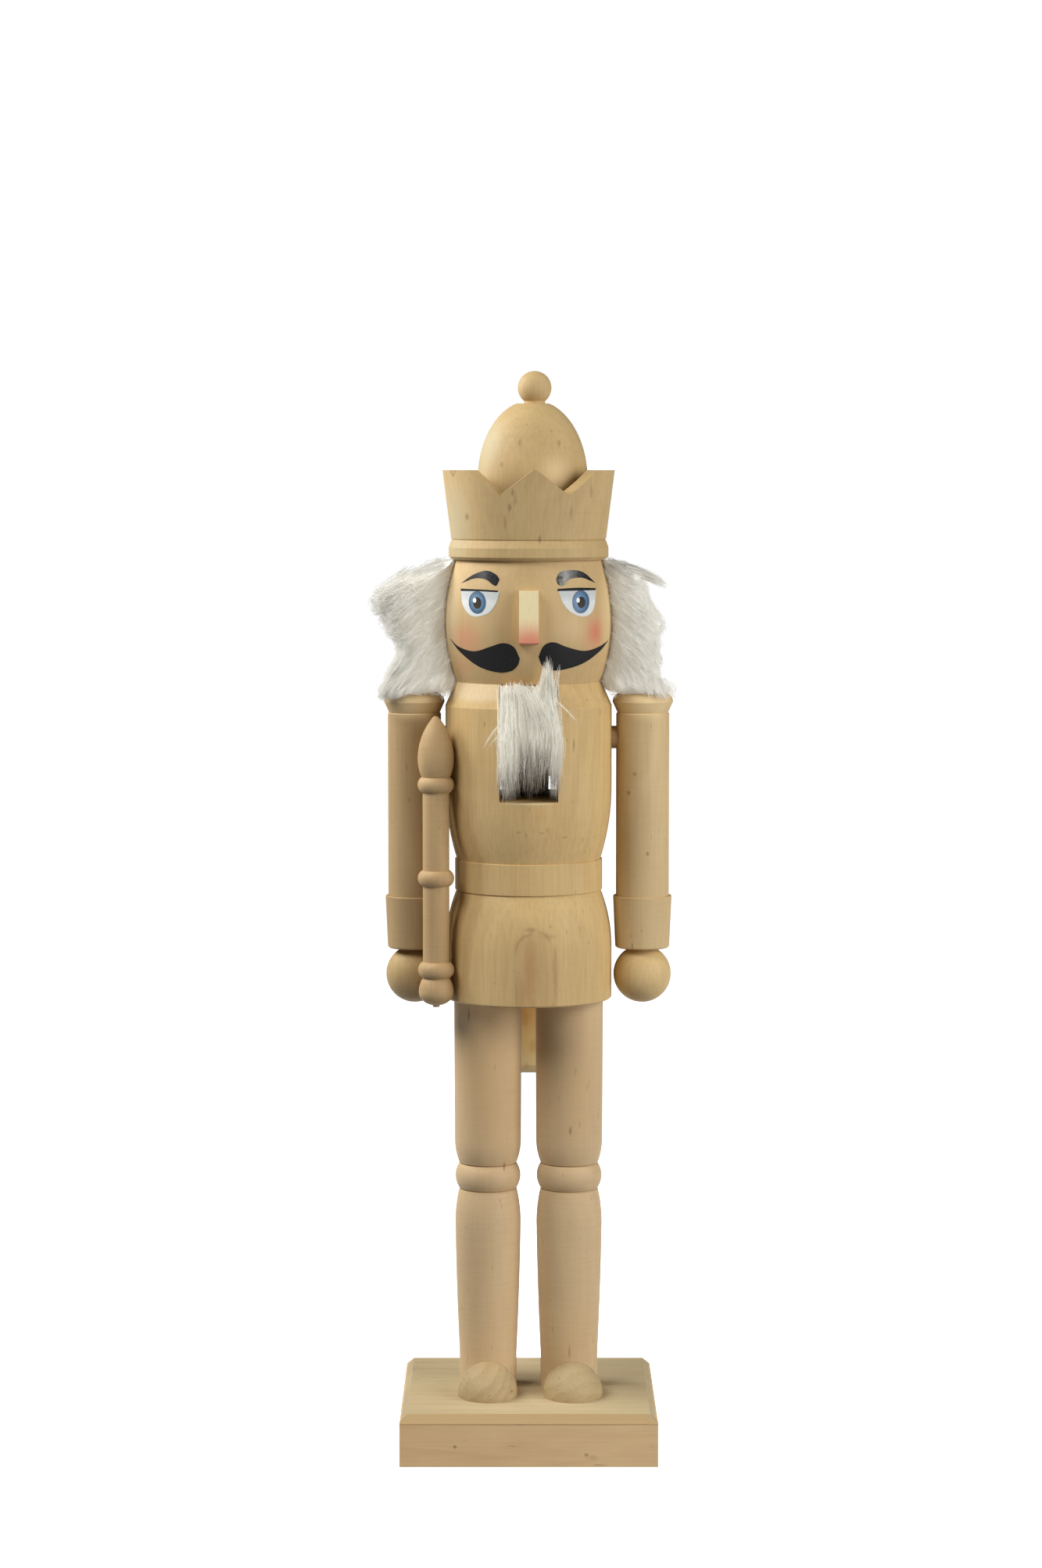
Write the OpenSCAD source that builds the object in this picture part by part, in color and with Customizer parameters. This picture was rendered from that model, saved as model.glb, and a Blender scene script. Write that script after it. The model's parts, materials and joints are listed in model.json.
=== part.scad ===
// Turned wooden nutcracker: a crowned figure on a square base, with a jaw worked by a lever at its back.
// The figure faces -Y, its own right hand is on the -X side, and the base stands on Z = 0.

/* [Base] */
// Width and depth of the square base block
base_w = 90; // [80:1:120]
// Thickness of the base block
base_h = 18; // [14:0.5:30]
// Bevel along the base's top edges
base_bevel = 2.7; // [0.5:0.1:5]

/* [Legs] */
// Length of a leg, from the base to the skirt
leg_h = 140.6; // [125:0.1:170]
// Radius of the thigh at the skirt
thigh_r = 12; // [11:0.1:14]
// How much thinner the thigh is above the knee
thigh_taper = 0.2; // [0:0.1:1]
// Height over which the thigh rounds into the knee
thigh_round = 8; // [4:0.5:14]
// Gap between the two thighs
leg_gap = 5; // [2:0.5:10]
// Depth of the grooves above and below the knee bead
knee_groove = 1.4; // [0.6:0.1:2.5]
// How far the knee bead stands out of its grooves
knee_bulge = 1.3; // [0.5:0.1:2]
// Height of the knee bead
knee_h = 9.8; // [6:0.1:14]
// Height of the knee bead's underside above the base
knee_rise = 71.6; // [60:0.1:85]
// Radius of the calf at its fullest
calf_r = 11.7; // [11:0.1:13]
// How far below the knee bead the calf is fullest
calf_drop = 12; // [6:0.5:20]
// Radius of the ankle
ankle_r = 10.2; // [8:0.1:11]
// Height of the straight ankle above the top of the foot
ankle_over = 0.5; // [0:0.1:5]

/* [Feet] */
// Half the width of a foot
foot_r = 10.6; // [8:0.1:13]
// Reach of the toe in front of the leg's axis
foot_reach = 26.8; // [22:0.1:34]
// Distance of the foot's fullest part in front of the leg's axis
foot_mid = 14; // [11:0.1:17]
// Height of the foot's turning axis above the base
foot_rise = 0.9; // [0:0.1:4]
// Shift of the left foot outward from its leg
foot_out = 1.2; // [0:0.1:1.5]

/* [Torso] */
// Radius of the skirt
skirt_r = 29.5; // [28:0.1:34]
// Height of the skirt, up to the belt
skirt_h = 38.7; // [32:0.1:50]
// Height of the skirt's straight part
skirt_straight = 18; // [8:0.5:26]
// Radius of the waist, just above and below the belt
waist_r = 25.5; // [23:0.1:27]
// How far the belt stands proud of the waist
belt_proud = 0.6; // [0.2:0.1:2]
// Height of the belt
belt_h = 11; // [6:0.5:16]
// Radius of the chest
chest_r = 29.4; // [28:0.1:34]
// Height of the chest, from the belt to the head
chest_h = 62.8; // [56:0.1:75]
// Height over which the chest swells out from the belt
chest_swell = 25.5; // [15:0.5:32]
// Height of the sloping shoulder
shoulder_h = 8.5; // [4:0.5:12]
// Radius of the shoulder's top edge
neck_r = 25.7; // [24:0.1:27]
// Width of the slot that is cut through from front to back
slot_w = 20.5; // [18:0.1:24]
// Height of the slot's floor above the belt
slot_rise = 22; // [18:0.5:26]

/* [Jaw and lever] */
// Widest opening angle of the jaw
jaw_swing = 32; // [15:1:35]
// Height of the pivot above the slot's floor
pivot_rise = 12.7; // [10:0.1:15]
// Radius of the steel pivot pin
pivot_r = 2; // [1.5:0.1:2.5]
// Radial running clearance of the lever on its pin
pivot_play = 0.08; // [0.02:0.01:0.1]
// Depth of the pin's ends below the torso's sides
pivot_sink = 1; // [0.5:0.1:3]
// Gap between the closed jaw and the head
jaw_gap = 0.3; // [0.2:0.1:1]
// Gap at each side of the jaw in the slot
jaw_side = 0.5; // [0.3:0.1:1.5]
// Distance of the jaw's front from the torso's axis
jaw_front = 28.5; // [26:0.1:29]
// Thickness of the jaw block from front to back
jaw_t = 14.5; // [10:0.5:18]
// Width of the lever board
lever_w = 14; // [10:0.5:16]
// Thickness of the handle from front to back
handle_t = 10.5; // [7:0.5:13]
// Length of the handle below the skirt
handle_tail = 33; // [15:1:50]
// Corner radius of the handle's lower end
handle_corner = 4; // [1:0.5:5]
// Gap between the handle and the skirt
handle_gap = 1.2; // [0.6:0.1:3]
// Gap between the lever and the slot's floor
floor_gap = 1.5; // [0.8:0.1:3]
// Thickness of the beard's pile
beard_t = 7; // [3:0.5:9]
// Inset of the beard from the jaw's edges
beard_inset = 0.6; // [0.3:0.1:2]

/* [Head] */
// Height of the head
head_h = 43; // [38:0.1:52]
// Radius of the head at its fullest
head_r = 29.6; // [27:0.1:33]
// Radius of the head's flat ends
head_end_r = 25.6; // [22:0.1:26.5]
// Width of the nose
nose_w = 6.8; // [4:0.1:9]
// Height of the nose
nose_h = 18.3; // [12:0.1:22]
// Height of the nose's underside above the chin
nose_rise = 14.4; // [10:0.1:18]
// How far the nose stands out at its top
nose_top = 2.6; // [1.5:0.1:4]
// How far the nose stands out at its underside
nose_low = 6.2; // [4:0.1:9]

/* [Hair] */
// Angle from the face's middle to the hair's front edge
hair_from = 80; // [70:1:95]
// Share of the side pile that the back of the hair has
hair_back = 0.5; // [0.3:0.05:0.9]
// Height of the hair's lower edge above the chin at the back
hair_lift = 1.5; // [0.5:0.5:8]
// Gap between the hair and the wood round it
hair_gap = 0.3; // [0.2:0.1:1]

/* [Crown] */
// Height of the crown
crown_h = 31.2; // [26:0.1:40]
// Radius of the crown at its rim
crown_rim_r = 30.3; // [28:0.1:34]
// Radius of the crown just above its bead
crown_low_r = 27.3; // [25:0.1:29]
// How far the crown's bead stands out
crown_bead = 0.85; // [0.4:0.05:2]
// Height of the crown's bead
crown_bead_h = 6.9; // [4:0.1:9]
// Thickness of the crown's wall
crown_wall = 4.8; // [3:0.1:7]
// Thickness of the crown's floor
crown_floor = 16; // [15:0.5:19]
// Half angle of the notches between the points
notch_half = 56; // [40:1:65]
// Depth of the notches beside the middle point
notch_depth = 9.1; // [5:0.1:12]
// Depth of the notches at the back
notch_back = 8; // [5:0.1:12]
// Depth of the shallow notch
notch_shallow = 2.5; // [1:0.1:5]
// Angle by which the notches fall outward
notch_fall = 16; // [0:1:25]

/* [Dome and finial] */
// Radius of the dome at its fullest
dome_r = 19.35; // [15:0.05:21]
// Height of the dome above the crown's floor
dome_h = 38.5; // [30:0.1:48]
// Height of the dome's fullest part above the crown's floor
dome_mid = 12; // [6:0.5:18]
// Radius of the dome's foot
dome_foot_r = 17.3; // [13:0.1:18.5]
// Radius of the flat on top of the dome
dome_flat_r = 7.2; // [5:0.1:9]
// Shift of the dome to the figure's left
dome_shift = 1.4; // [0:0.1:3]
// Shift of the finial from the dome's axis to the figure's left
finial_shift = 0.7; // [0:0.1:1.5]
// Radius of the finial ball
ball_r = 5.9; // [4.5:0.1:8]
// Height of the ball's middle above the dome
ball_rise = 5.5; // [4:0.1:7]
// Radius of the ball's short neck
ball_neck_r = 3.7; // [2.8:0.1:4.2]

/* [Arms and hands] */
// Length of an arm, from the cuff's lower edge to the top of the shoulder cap
arm_len = 90.6; // [80:0.1:100]
// Distance of the arm's top below the chin
arm_drop = 4.1; // [1:0.1:8]
// Radius of the arm
arm_r = 9.4; // [8:0.1:10]
// Radius of the shoulder cap
cap_r = 10.7; // [10:0.1:12]
// Height of the shoulder cap
cap_h = 7; // [5:0.1:10]
// Radius of the shoulder cap's rounded top edge
cap_round = 3.2; // [1:0.1:4.5]
// Height of the cuff
cuff_h = 18.6; // [12:0.1:28]
// Radius of the cuff at its upper edge
cuff_r = 10.4; // [10:0.1:12]
// Radius of the cuff at its lower edge
cuff_low_r = 9.6; // [8.5:0.1:10]
// Radius of a hand
hand_r = 10.2; // [8:0.1:12]
// Height of the flat that is cut off the top of a hand
hand_flat = 0.8; // [0.5:0.1:2]
// Smallest gap between an arm and the torso
arm_gap = 0.3; // [0.2:0.1:3]

/* [Sceptre] */
// Radius of the shaft
shaft_r = 4.65; // [3.5:0.05:5.2]
// Length of the shaft below the middle bead
shaft_low = 26.8; // [20:0.1:34]
// Length of the shaft above the middle bead
shaft_high = 27.4; // [20:0.1:34]
// Radius of the beads
bead_r = 6.4; // [5.6:0.1:7.5]
// Height of a bead
bead_h = 5.5; // [4:0.1:7]
// Radius of the end knob
knob_r = 6.15; // [5.4:0.05:7.5]
// Height of the end knob
knob_h = 10.4; // [8:0.1:13]
// Radius of the acorn at the top
acorn_r = 6.35; // [5.4:0.05:7.5]
// Height of the acorn
acorn_h = 21.2; // [15:0.1:26]
// How far the sceptre stands inward of the arm's axis
sceptre_inset = 7.9; // [4:0.1:10]
// Smallest gap between the sceptre and what stands beside it
sceptre_gap = 0.3; // [0.2:0.1:2]

/* [Joinery] */
// Radial gap for glue round a dowel
glue_gap = 0.05; // [0.02:0.01:0.1]
// Free space at each end of a dowel
dowel_end = 0.5; // [0.2:0.1:1.5]
// Radius of the hip dowels
hip_dowel_r = 4; // [3:0.5:5]
// Length of the hip dowels
hip_dowel_len = 30; // [20:1:36]
// Radius of the shoulder dowels
shoulder_dowel_r = 4; // [3:0.1:4.5]
// Depth of the shoulder dowels in the chest
shoulder_dowel_in = 10; // [6:0.5:14]
// Reach of the shoulder dowels past the arm's axis
shoulder_dowel_past = 3; // [0:0.5:4]
// Distance of the shoulder dowels below the arm's top
shoulder_dowel_drop = 15.8; // [13:0.1:17]
// Radius of the neck dowels
neck_dowel_r = 3; // [2:0.1:4]
// Length of the neck dowels
neck_dowel_len = 18; // [12:1:22]
// Radius of the crown dowel
crown_dowel_r = 4; // [3:0.5:6]
// Length of the crown dowel
crown_dowel_len = 14; // [8:0.5:15]
// Radius of the dome dowel
dome_dowel_r = 3; // [2:0.5:5]
// Length of the dome dowel
dome_dowel_len = 12; // [8:0.5:14]
// Radius of the finial dowel
finial_dowel_r = 1.5; // [1:0.1:2]
// Length of the finial dowel
finial_dowel_len = 11; // [8:0.5:14]
// Radius of the wrist dowels
wrist_dowel_r = 2.5; // [1.5:0.1:3]
// Length of the wrist dowels
wrist_dowel_len = 16; // [10:0.5:18]
// Radius of the foot dowels
foot_dowel_r = 2; // [1.5:0.1:3]
// Length of the foot dowels
foot_dowel_len = 16; // [10:0.5:18]
// Radius of the dowel in the jaw
jaw_dowel_r = 3; // [2:0.1:4]
// Length of the dowel in the jaw
jaw_dowel_len = 18; // [12:0.5:19]
// Radius of the sceptre's peg
peg_r = 2; // [1:0.1:2.2]
// Depth of the sceptre's peg in the hand and in the sceptre
peg_in = 4.5; // [3:0.1:5]
// Radius of a leg screw's shank
screw_r = 2; // [1.5:0.1:2.5]
// Radius of a leg screw's head
screw_head_r = 4; // [3.2:0.1:5]
// Length of a leg screw
screw_len = 42; // [34:1:60]
// Depth of a leg screw's head below the base's underside
screw_sink = 0.5; // [0.3:0.1:2]

/* [Finish] */
// Width of the broken edges of the wood
edge = 0.5; // [0.2:0.1:0.8]

/* [Hidden] */
$fn = 96;

// The figure's own right and left as signs of X
RIGHT = -1;
LEFT = 1;

// Heights of the main pieces, stacked from the base
leg_z = base_h;
torso_z = leg_z + leg_h;
belt_z = torso_z + skirt_h;
chest_z = belt_z + belt_h;
head_z = chest_z + chest_h;
crown_z = head_z + head_h;
cup_z = crown_z + crown_floor;
finial_z = cup_z + dome_h;
slot_z = chest_z + slot_rise;
pivot_z = slot_z + pivot_rise;
arm_top_z = head_z - arm_drop;
arm_z = arm_top_z - arm_len;
hand_z = arm_z - hand_r + hand_flat;
shoulder_z = arm_top_z - shoulder_dowel_drop;

// Places beside the middle
leg_x = thigh_r + leg_gap / 2;
arm_x = max(skirt_r + max(hand_r, cuff_r), chest_r + max(cap_r, arm_r)) + arm_gap;
neck_dowel_x = (slot_w / 2 + neck_r) / 2;
finial_x = dome_shift + finial_shift;
knee_groove_r = min(thigh_r - thigh_taper, calf_r) - knee_groove;
ankle_h = foot_rise + foot_r + ankle_over;

// The sceptre stands clear of the arm, the hand and the torso
sceptre_wide = max(bead_r, knob_r, acorn_r) + sceptre_gap;
sceptre_x = arm_x - sceptre_inset;
sceptre_y = max(
    sqrt(pow(max(hand_r, cuff_r, arm_r) + sceptre_wide, 2) - pow(sceptre_inset, 2)),
    sqrt(max(0, pow(max(skirt_r, chest_r) + sceptre_wide, 2) - pow(sceptre_x, 2)))
);
sceptre_len = knob_h + 3 * bead_h + shaft_low + shaft_high + acorn_h;
bead_waist_r = shaft_r + 0.25;
peg_over_hand = hand_r / 3;
peg_z = hand_z + peg_over_hand;
sceptre_z = peg_z - knob_h - bead_h / 2;
peg_turn = atan2(-sceptre_y, sceptre_inset);
peg_from = sqrt(pow(hand_r, 2) - pow(peg_over_hand, 2)) - peg_in;
peg_to = norm([sceptre_inset, sceptre_y]) - bead_r + peg_in;

// The jaw and lever, measured from the pivot: y to the back, h upward
jaw_back = jaw_front - jaw_t;
jaw_top = head_z - jaw_gap - pivot_z;
lever_low = pivot_rise - floor_gap;
handle_in = max(skirt_r, chest_r) + handle_gap;
handle_out = handle_in + handle_t;
handle_low = pivot_z - torso_z + handle_tail;
jaw_w = slot_w - 2 * jaw_side;
jaw_dowel_h = (jaw_top + lever_under(-jaw_back)) / 2;

// Angle and depth of each notch between the crown's points, from the face's middle to the figure's left
NOTCHES = [
    [-61, notch_shallow], [-20.5, notch_depth], [28.5, notch_depth], [115, notch_back],
    [158, notch_back], [201, notch_back], [244, notch_back]
];

// Thickness of the hair's pile at the sides, by the share of its height
HAIR_PILE = [[0, 22], [0.15, 20.5], [0.38, 16], [0.6, 19], [0.75, 21.5], [0.87, 15], [1, 2.5]];
hair_top_z = crown_z - hair_gap;
hair_low_z = arm_top_z + hair_gap;
hair_rows = 12;
hair_columns = 28;

// Curves of the turned profiles

// Points after p on the arc that leaves p parallel to the axis and ends at q
function swell(p, q, n = 12) =
    let (inward = p[0] - q[0], up = q[1] - p[1])
    let (r = (inward * inward + up * up) / (2 * inward))
    let (turn = asin(up / r))
    [for (i = [1:n]) [p[0] - r + r * cos(turn * i / n), p[1] + r * sin(turn * i / n)]];

// Points from p to q on the arc that reaches q parallel to the axis
function rise(p, q, n = 12) =
    let (back = swell(q, p, n))
    concat([for (i = [n - 1:-1:0]) back[i]], [q]);

// Points from p to q on an arc that bulges outward by s
function bow(p, q, s, n = 12) =
    let (along = (q - p) / norm(q - p), half = norm(q - p) / 2)
    let (out = [along[1], -along[0]], r = (half * half + s * s) / (2 * s))
    let (centre = (p + q) / 2 - (r - s) * out, turn = s < half ? asin(half / r) : 180 - asin(half / r))
    [for (i = [-n:2:n]) centre + r * (cos(turn * i / n) * out + sin(turn * i / n) * along)];

// Points after the fullest part of an oval, up to its flat end
function oval(r, flat_r, h, n = 16) =
    let (last = acos(flat_r / r))
    [for (i = [1:n]) [r * cos(last * i / n), h * sin(last * i / n) / sin(last)]];

// The same points in the other order
function turned_round(points) = [for (i = [len(points) - 1:-1:0]) points[i]];

// The points moved along the axis
function lifted(points, z) = [for (p = points) p + [0, z]];

// A solid turned about Z from the points of its outer profile, bottom to top
module turned(profile) {
    rotate_extrude()
        polygon(concat([[0, profile[0][1]]], profile, [[0, profile[len(profile) - 1][1]]]));
}

// A dowel standing on Z = 0, with broken ends
module dowel(r, len) {
    turned([[r - edge, 0], [r, edge], [r, len - edge], [r - edge, len]]);
}

// The hole for that dowel
module dowel_hole(r, len) {
    translate([0, 0, -dowel_end]) cylinder(r = r + glue_gap, h = len + 2 * dowel_end);
}

// A round rod along X with its middle at the origin
module rod_along_x(r, len) {
    rotate([0, 90, 0]) cylinder(r = r, h = len, center = true);
}

// Places of the joints, used for each dowel and for its holes
module at_hip(side) {
    translate([side * leg_x, 0, torso_z - hip_dowel_len / 2]) children();
}

module at_foot(side) {
    translate([side * leg_x, -(foot_mid + foot_reach) / 2 + foot_dowel_r, base_h - foot_dowel_len / 2])
        children();
}

module at_shoulder(side) {
    mirror([side == RIGHT ? 1 : 0, 0, 0])
        translate([chest_r - shoulder_dowel_in, 0, shoulder_z])
        rotate([0, 90, 0])
        children();
}

module at_wrist(side) {
    translate([side * arm_x, 0, arm_z - wrist_dowel_len / 2]) children();
}

module at_neck(side) {
    translate([side * neck_dowel_x, 0, head_z - neck_dowel_len / 2]) children();
}

module at_crown_dowel() {
    translate([0, 0, crown_z - crown_dowel_len / 2]) children();
}

module at_dome_dowel() {
    translate([dome_shift, 0, cup_z - dome_dowel_len / 2]) children();
}

module at_finial_dowel() {
    translate([finial_x, 0, finial_z - finial_dowel_len / 2]) children();
}

module at_jaw_dowel() {
    translate([0, -jaw_back + jaw_dowel_len / 2, pivot_z + jaw_dowel_h]) rotate([90, 0, 0]) children();
}

module at_peg() {
    translate([-arm_x, 0, peg_z]) rotate([0, 0, peg_turn]) rotate([0, 90, 0]) translate([0, 0, peg_from])
        children();
}

shoulder_dowel_len = arm_x + shoulder_dowel_past - chest_r + shoulder_dowel_in;
peg_len = peg_to - peg_from;

// Base and legs

module base_block() {
    color("burlywood") difference() {
        translate([-base_w / 2, -base_w / 2, 0]) cube([base_w, base_w, base_h]);
        for (turn = [0:90:270])
            rotate([0, 0, turn])
            translate([0, base_w / 2, base_h - base_bevel])
            rotate([0, 90, 0])
            linear_extrude(base_w + base_bevel, center = true)
            polygon(base_bevel * [[1, 1], [-2, 1], [-2, -2]]);
        for (side = [RIGHT, LEFT]) {
            at_foot(side) dowel_hole(foot_dowel_r, foot_dowel_len);
            translate([side * leg_x, 0, 0]) screw_hole();
        }
    }
}

// Countersunk hole through the base for a leg screw
module screw_hole() {
    play = 0.2;
    taper = screw_head_r - screw_r;
    turned([
        [screw_head_r + play, -1], [screw_head_r + play, screw_sink + edge],
        [screw_r + play, screw_sink + edge + taper], [screw_r + play, base_h + 1]
    ]);
}

module leg_screws() {
    slot_t = 0.9;
    slot_deep = 1.2;
    color("silver") for (side = [RIGHT, LEFT]) translate([side * leg_x, 0, screw_sink]) difference() {
        turned([
            [screw_head_r, 0], [screw_head_r, edge], [screw_r, edge + screw_head_r - screw_r],
            [screw_r, screw_len - 2 * screw_r], [screw_r / 4, screw_len]
        ]);
        for (turn = [0, 90]) rotate([0, 0, turn])
            cube([1.3 * screw_head_r, slot_t, 2 * slot_deep], center = true);
    }
}

module leg(side) {
    calf_rise = knee_rise - calf_drop;
    knee_top = knee_rise + knee_h;
    calf_bow = 0.2;
    difference() {
        translate([side * leg_x, 0, leg_z]) turned(concat(
            [[ankle_r, 0]],
            bow([ankle_r, ankle_h], [calf_r, calf_rise], calf_bow),
            swell([calf_r, calf_rise], [knee_groove_r, knee_rise]),
            lifted(knee_bead(), knee_rise),
            rise([knee_groove_r, knee_top], [thigh_r - thigh_taper, knee_top + thigh_round]),
            [[thigh_r, leg_h]]
        ));
        at_hip(side) dowel_hole(hip_dowel_r, hip_dowel_len);
        translate([side * leg_x, 0, 0])
            cylinder(r = screw_r + glue_gap, h = screw_sink + screw_len + dowel_end);
    }
}

// Profile of the knee bead between its two grooves
function knee_bead() =
    let (line = 0.3, lip = knee_groove_r - 2 * line)
    let (low = [knee_groove_r, 2 * line], high = [knee_groove_r, knee_h - 2 * line])
    concat([[lip, line]], bow(low, high, knee_bulge), [[lip, knee_h - line]]);

module right_leg() { color("wheat") leg(RIGHT); }

module left_leg() { color("wheat") leg(LEFT); }

// A turned egg lying forward, cut flat underneath and hollowed to fit round the ankle
module foot(side) {
    nose_flat = 0.6;
    toe = oval(foot_r, nose_flat, foot_reach - foot_mid);
    heel = [for (p = oval(foot_r, nose_flat, foot_mid)) [p[0], -p[1]]];
    foot_x = side == LEFT ? leg_x + foot_out : -leg_x;
    difference() {
        translate([foot_x, 0, base_h + foot_rise]) rotate([90, 0, 0])
            turned(lifted(concat(turned_round(heel), [[foot_r, 0]], toe), foot_mid));
        translate([side * leg_x, -foot_reach / 2, base_h - foot_r])
            cube([4 * foot_r, 2 * foot_reach, 2 * foot_r], center = true);
        translate([side * leg_x, 0, base_h - 1]) cylinder(r = ankle_r + glue_gap, h = 2 * foot_r + ankle_h);
        translate([side * leg_x, foot_mid / 2, base_h + foot_r])
            cube([4 * foot_r, foot_mid, 4 * foot_r], center = true);
        at_foot(side) dowel_hole(foot_dowel_r, foot_dowel_len);
    }
}

module right_foot() { color("tan") foot(RIGHT); }

module left_foot() { color("tan") foot(LEFT); }

module foot_dowels() {
    color("peru") for (side = [RIGHT, LEFT]) at_foot(side) dowel(foot_dowel_r, foot_dowel_len);
}

module hip_dowels() {
    color("peru") for (side = [RIGHT, LEFT]) at_hip(side) dowel(hip_dowel_r, hip_dowel_len);
}

// Torso

function torso_profile() =
    let (belt_r = waist_r + belt_proud, torso_h = skirt_h + belt_h + chest_h, belt_edge = belt_proud / 3)
    concat(
        [[skirt_r - edge, 0], [skirt_r, edge], [skirt_r, skirt_straight]],
        swell([skirt_r, skirt_straight], [waist_r, skirt_h]),
        [[belt_r - belt_edge, skirt_h], [belt_r, skirt_h + belt_edge]],
        [[belt_r, skirt_h + belt_h - belt_edge], [belt_r - belt_edge, skirt_h + belt_h]],
        rise([waist_r, skirt_h + belt_h], [chest_r, skirt_h + belt_h + chest_swell]),
        [[chest_r, torso_h - shoulder_h], [neck_r, torso_h]]
    );

module torso() {
    pin_fit = 0.03;
    color("burlywood") difference() {
        translate([0, 0, torso_z]) turned(torso_profile());
        translate([-slot_w / 2, -2 * chest_r, slot_z]) cube([slot_w, 4 * chest_r, chest_h]);
        translate([0, 0, pivot_z]) rod_along_x(pivot_r + pin_fit, 3 * chest_r);
        for (side = [RIGHT, LEFT]) {
            at_hip(side) dowel_hole(hip_dowel_r, hip_dowel_len);
            at_shoulder(side) dowel_hole(shoulder_dowel_r, shoulder_dowel_len);
            at_neck(side) dowel_hole(neck_dowel_r, neck_dowel_len);
        }
    }
}

module pivot_pin() {
    color("silver") translate([pivot_sink - chest_r, 0, pivot_z]) rotate([0, 90, 0])
        dowel(pivot_r, 2 * (chest_r - pivot_sink));
}

module neck_dowels() {
    color("peru") for (side = [RIGHT, LEFT]) at_neck(side) dowel(neck_dowel_r, neck_dowel_len);
}

// Jaw and lever

// Height, in front of the pivot, of the underside that lies along the slot's floor when the jaw is open
function lever_under(y) = (-lever_low - y * sin(jaw_swing)) / cos(jaw_swing);

// Height, behind the pivot, of the top edge that lies under the head when the jaw is open
function lever_over(y) = (jaw_top - y * sin(jaw_swing)) / cos(jaw_swing);

// Arc about the pivot that links the closed and the open edge, from straight up or straight down
function pivot_arc(r, n = 8) = [for (i = [0:n]) r * [sin(jaw_swing * i / n), cos(jaw_swing * i / n)]];

// A board in the plane of the slot, cut from points given from the pivot
module board(points, w) {
    translate([0, 0, pivot_z]) rotate([90, 0, 90]) linear_extrude(w, center = true) polygon(points);
}

module jaw_lever() {
    bend_r = handle_t;
    crest_y = handle_in - handle_t / 4;
    crest = lever_over(crest_y);
    heel = crest - 2 * bend_r;
    color("sandybrown") difference() {
        intersection() {
            board(concat(
                [[-jaw_back, jaw_top]],
                pivot_arc(jaw_top),
                [[crest_y, crest]],
                turned_round(swell([handle_out, heel], [crest_y + 1, crest - 1])),
                [[handle_out, heel], [handle_out, handle_t / 3 - handle_low]],
                turned_round(bow([handle_in, handle_t / 3 - handle_low],
                    [handle_out, handle_t / 3 - handle_low], handle_t / 3)),
                [[handle_in, -lever_low - floor_gap], [handle_in - floor_gap, -lever_low]],
                pivot_arc(-lever_low),
                [[-jaw_back, lever_under(-jaw_back)]]
            ), lever_w);
            handle_outline();
        }
        translate([0, 0, pivot_z]) rod_along_x(pivot_r + pivot_play, 2 * lever_w);
        at_jaw_dowel() dowel_hole(jaw_dowel_r, jaw_dowel_len);
    }
}

// The lever's outline from behind, with round corners at its lower end
module handle_outline() {
    straight = lever_w - 2 * handle_corner;
    tall = handle_low + jaw_top;
    translate([0, handle_out + 1, pivot_z - handle_low]) rotate([90, 0, 0])
        linear_extrude(handle_out + jaw_front + 2) {
            for (side = [RIGHT, LEFT])
                translate([side * straight / 2, handle_corner]) circle(handle_corner);
            translate([-straight / 2, 0]) square([straight, handle_corner]);
            translate([-lever_w / 2, handle_corner]) square([lever_w, tall]);
        }
}

module jaw_block() {
    color("wheat") difference() {
        board([
            [-jaw_back, jaw_top], [-jaw_front + edge, jaw_top], [-jaw_front, jaw_top - edge],
            [-jaw_front, lever_under(-jaw_front)], [-jaw_back, lever_under(-jaw_back)]
        ], jaw_w);
        at_jaw_dowel() dowel_hole(jaw_dowel_r, jaw_dowel_len);
    }
}

module jaw_dowel() {
    color("peru") at_jaw_dowel() dowel(jaw_dowel_r, jaw_dowel_len);
}

// Fur pad on the jaw's front, full in the middle of its height
module beard() {
    top = jaw_top - beard_inset;
    low = lever_under(-jaw_front) + beard_inset;
    root = -jaw_front - beard_t / 3;
    color("white") board(concat(
        [[-jaw_front, low], [-jaw_front, top]],
        bow([root, top], [root, low], beard_t * 2 / 3)
    ), jaw_w - 2 * beard_inset);
}

// Head

function head_profile(grow = 0) =
    let (mid = [head_r + grow, head_h / 2])
    concat(rise([head_end_r + grow, 0], mid), swell(mid, [head_end_r + grow, head_h]));

module head() {
    color("tan") difference() {
        translate([0, 0, head_z]) turned(head_profile());
        for (side = [RIGHT, LEFT]) at_neck(side) dowel_hole(neck_dowel_r, neck_dowel_len);
        at_crown_dowel() dowel_hole(crown_dowel_r, crown_dowel_len);
    }
}

module nose() {
    root = head_r - 3;
    color("moccasin") difference() {
        translate([0, 0, head_z + nose_rise]) rotate([90, 0, 90])
            linear_extrude(nose_w, center = true)
            polygon([
                [-root, 0], [-head_r - nose_low + edge, 0], [-head_r - nose_low, edge],
                [-head_r - nose_top, nose_h], [-root, nose_h]
            ]);
        translate([0, 0, head_z]) turned(head_profile(glue_gap));
    }
}

// Hair

// Radius just outside the head and the shoulder at height z
function hair_inside(z) =
    let (mid_r = head_r - (pow(head_h / 2, 2) + pow(head_r - head_end_r, 2)) / (2 * (head_r - head_end_r)))
    let (off = z - head_z - head_h / 2)
    let (shoulder = neck_r + (chest_r - neck_r) * max(0, head_z - z) / shoulder_h)
    hair_gap + (z < head_z ? shoulder : max(neck_r, mid_r + sqrt(pow(head_r - mid_r, 2) - off * off)));

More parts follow.
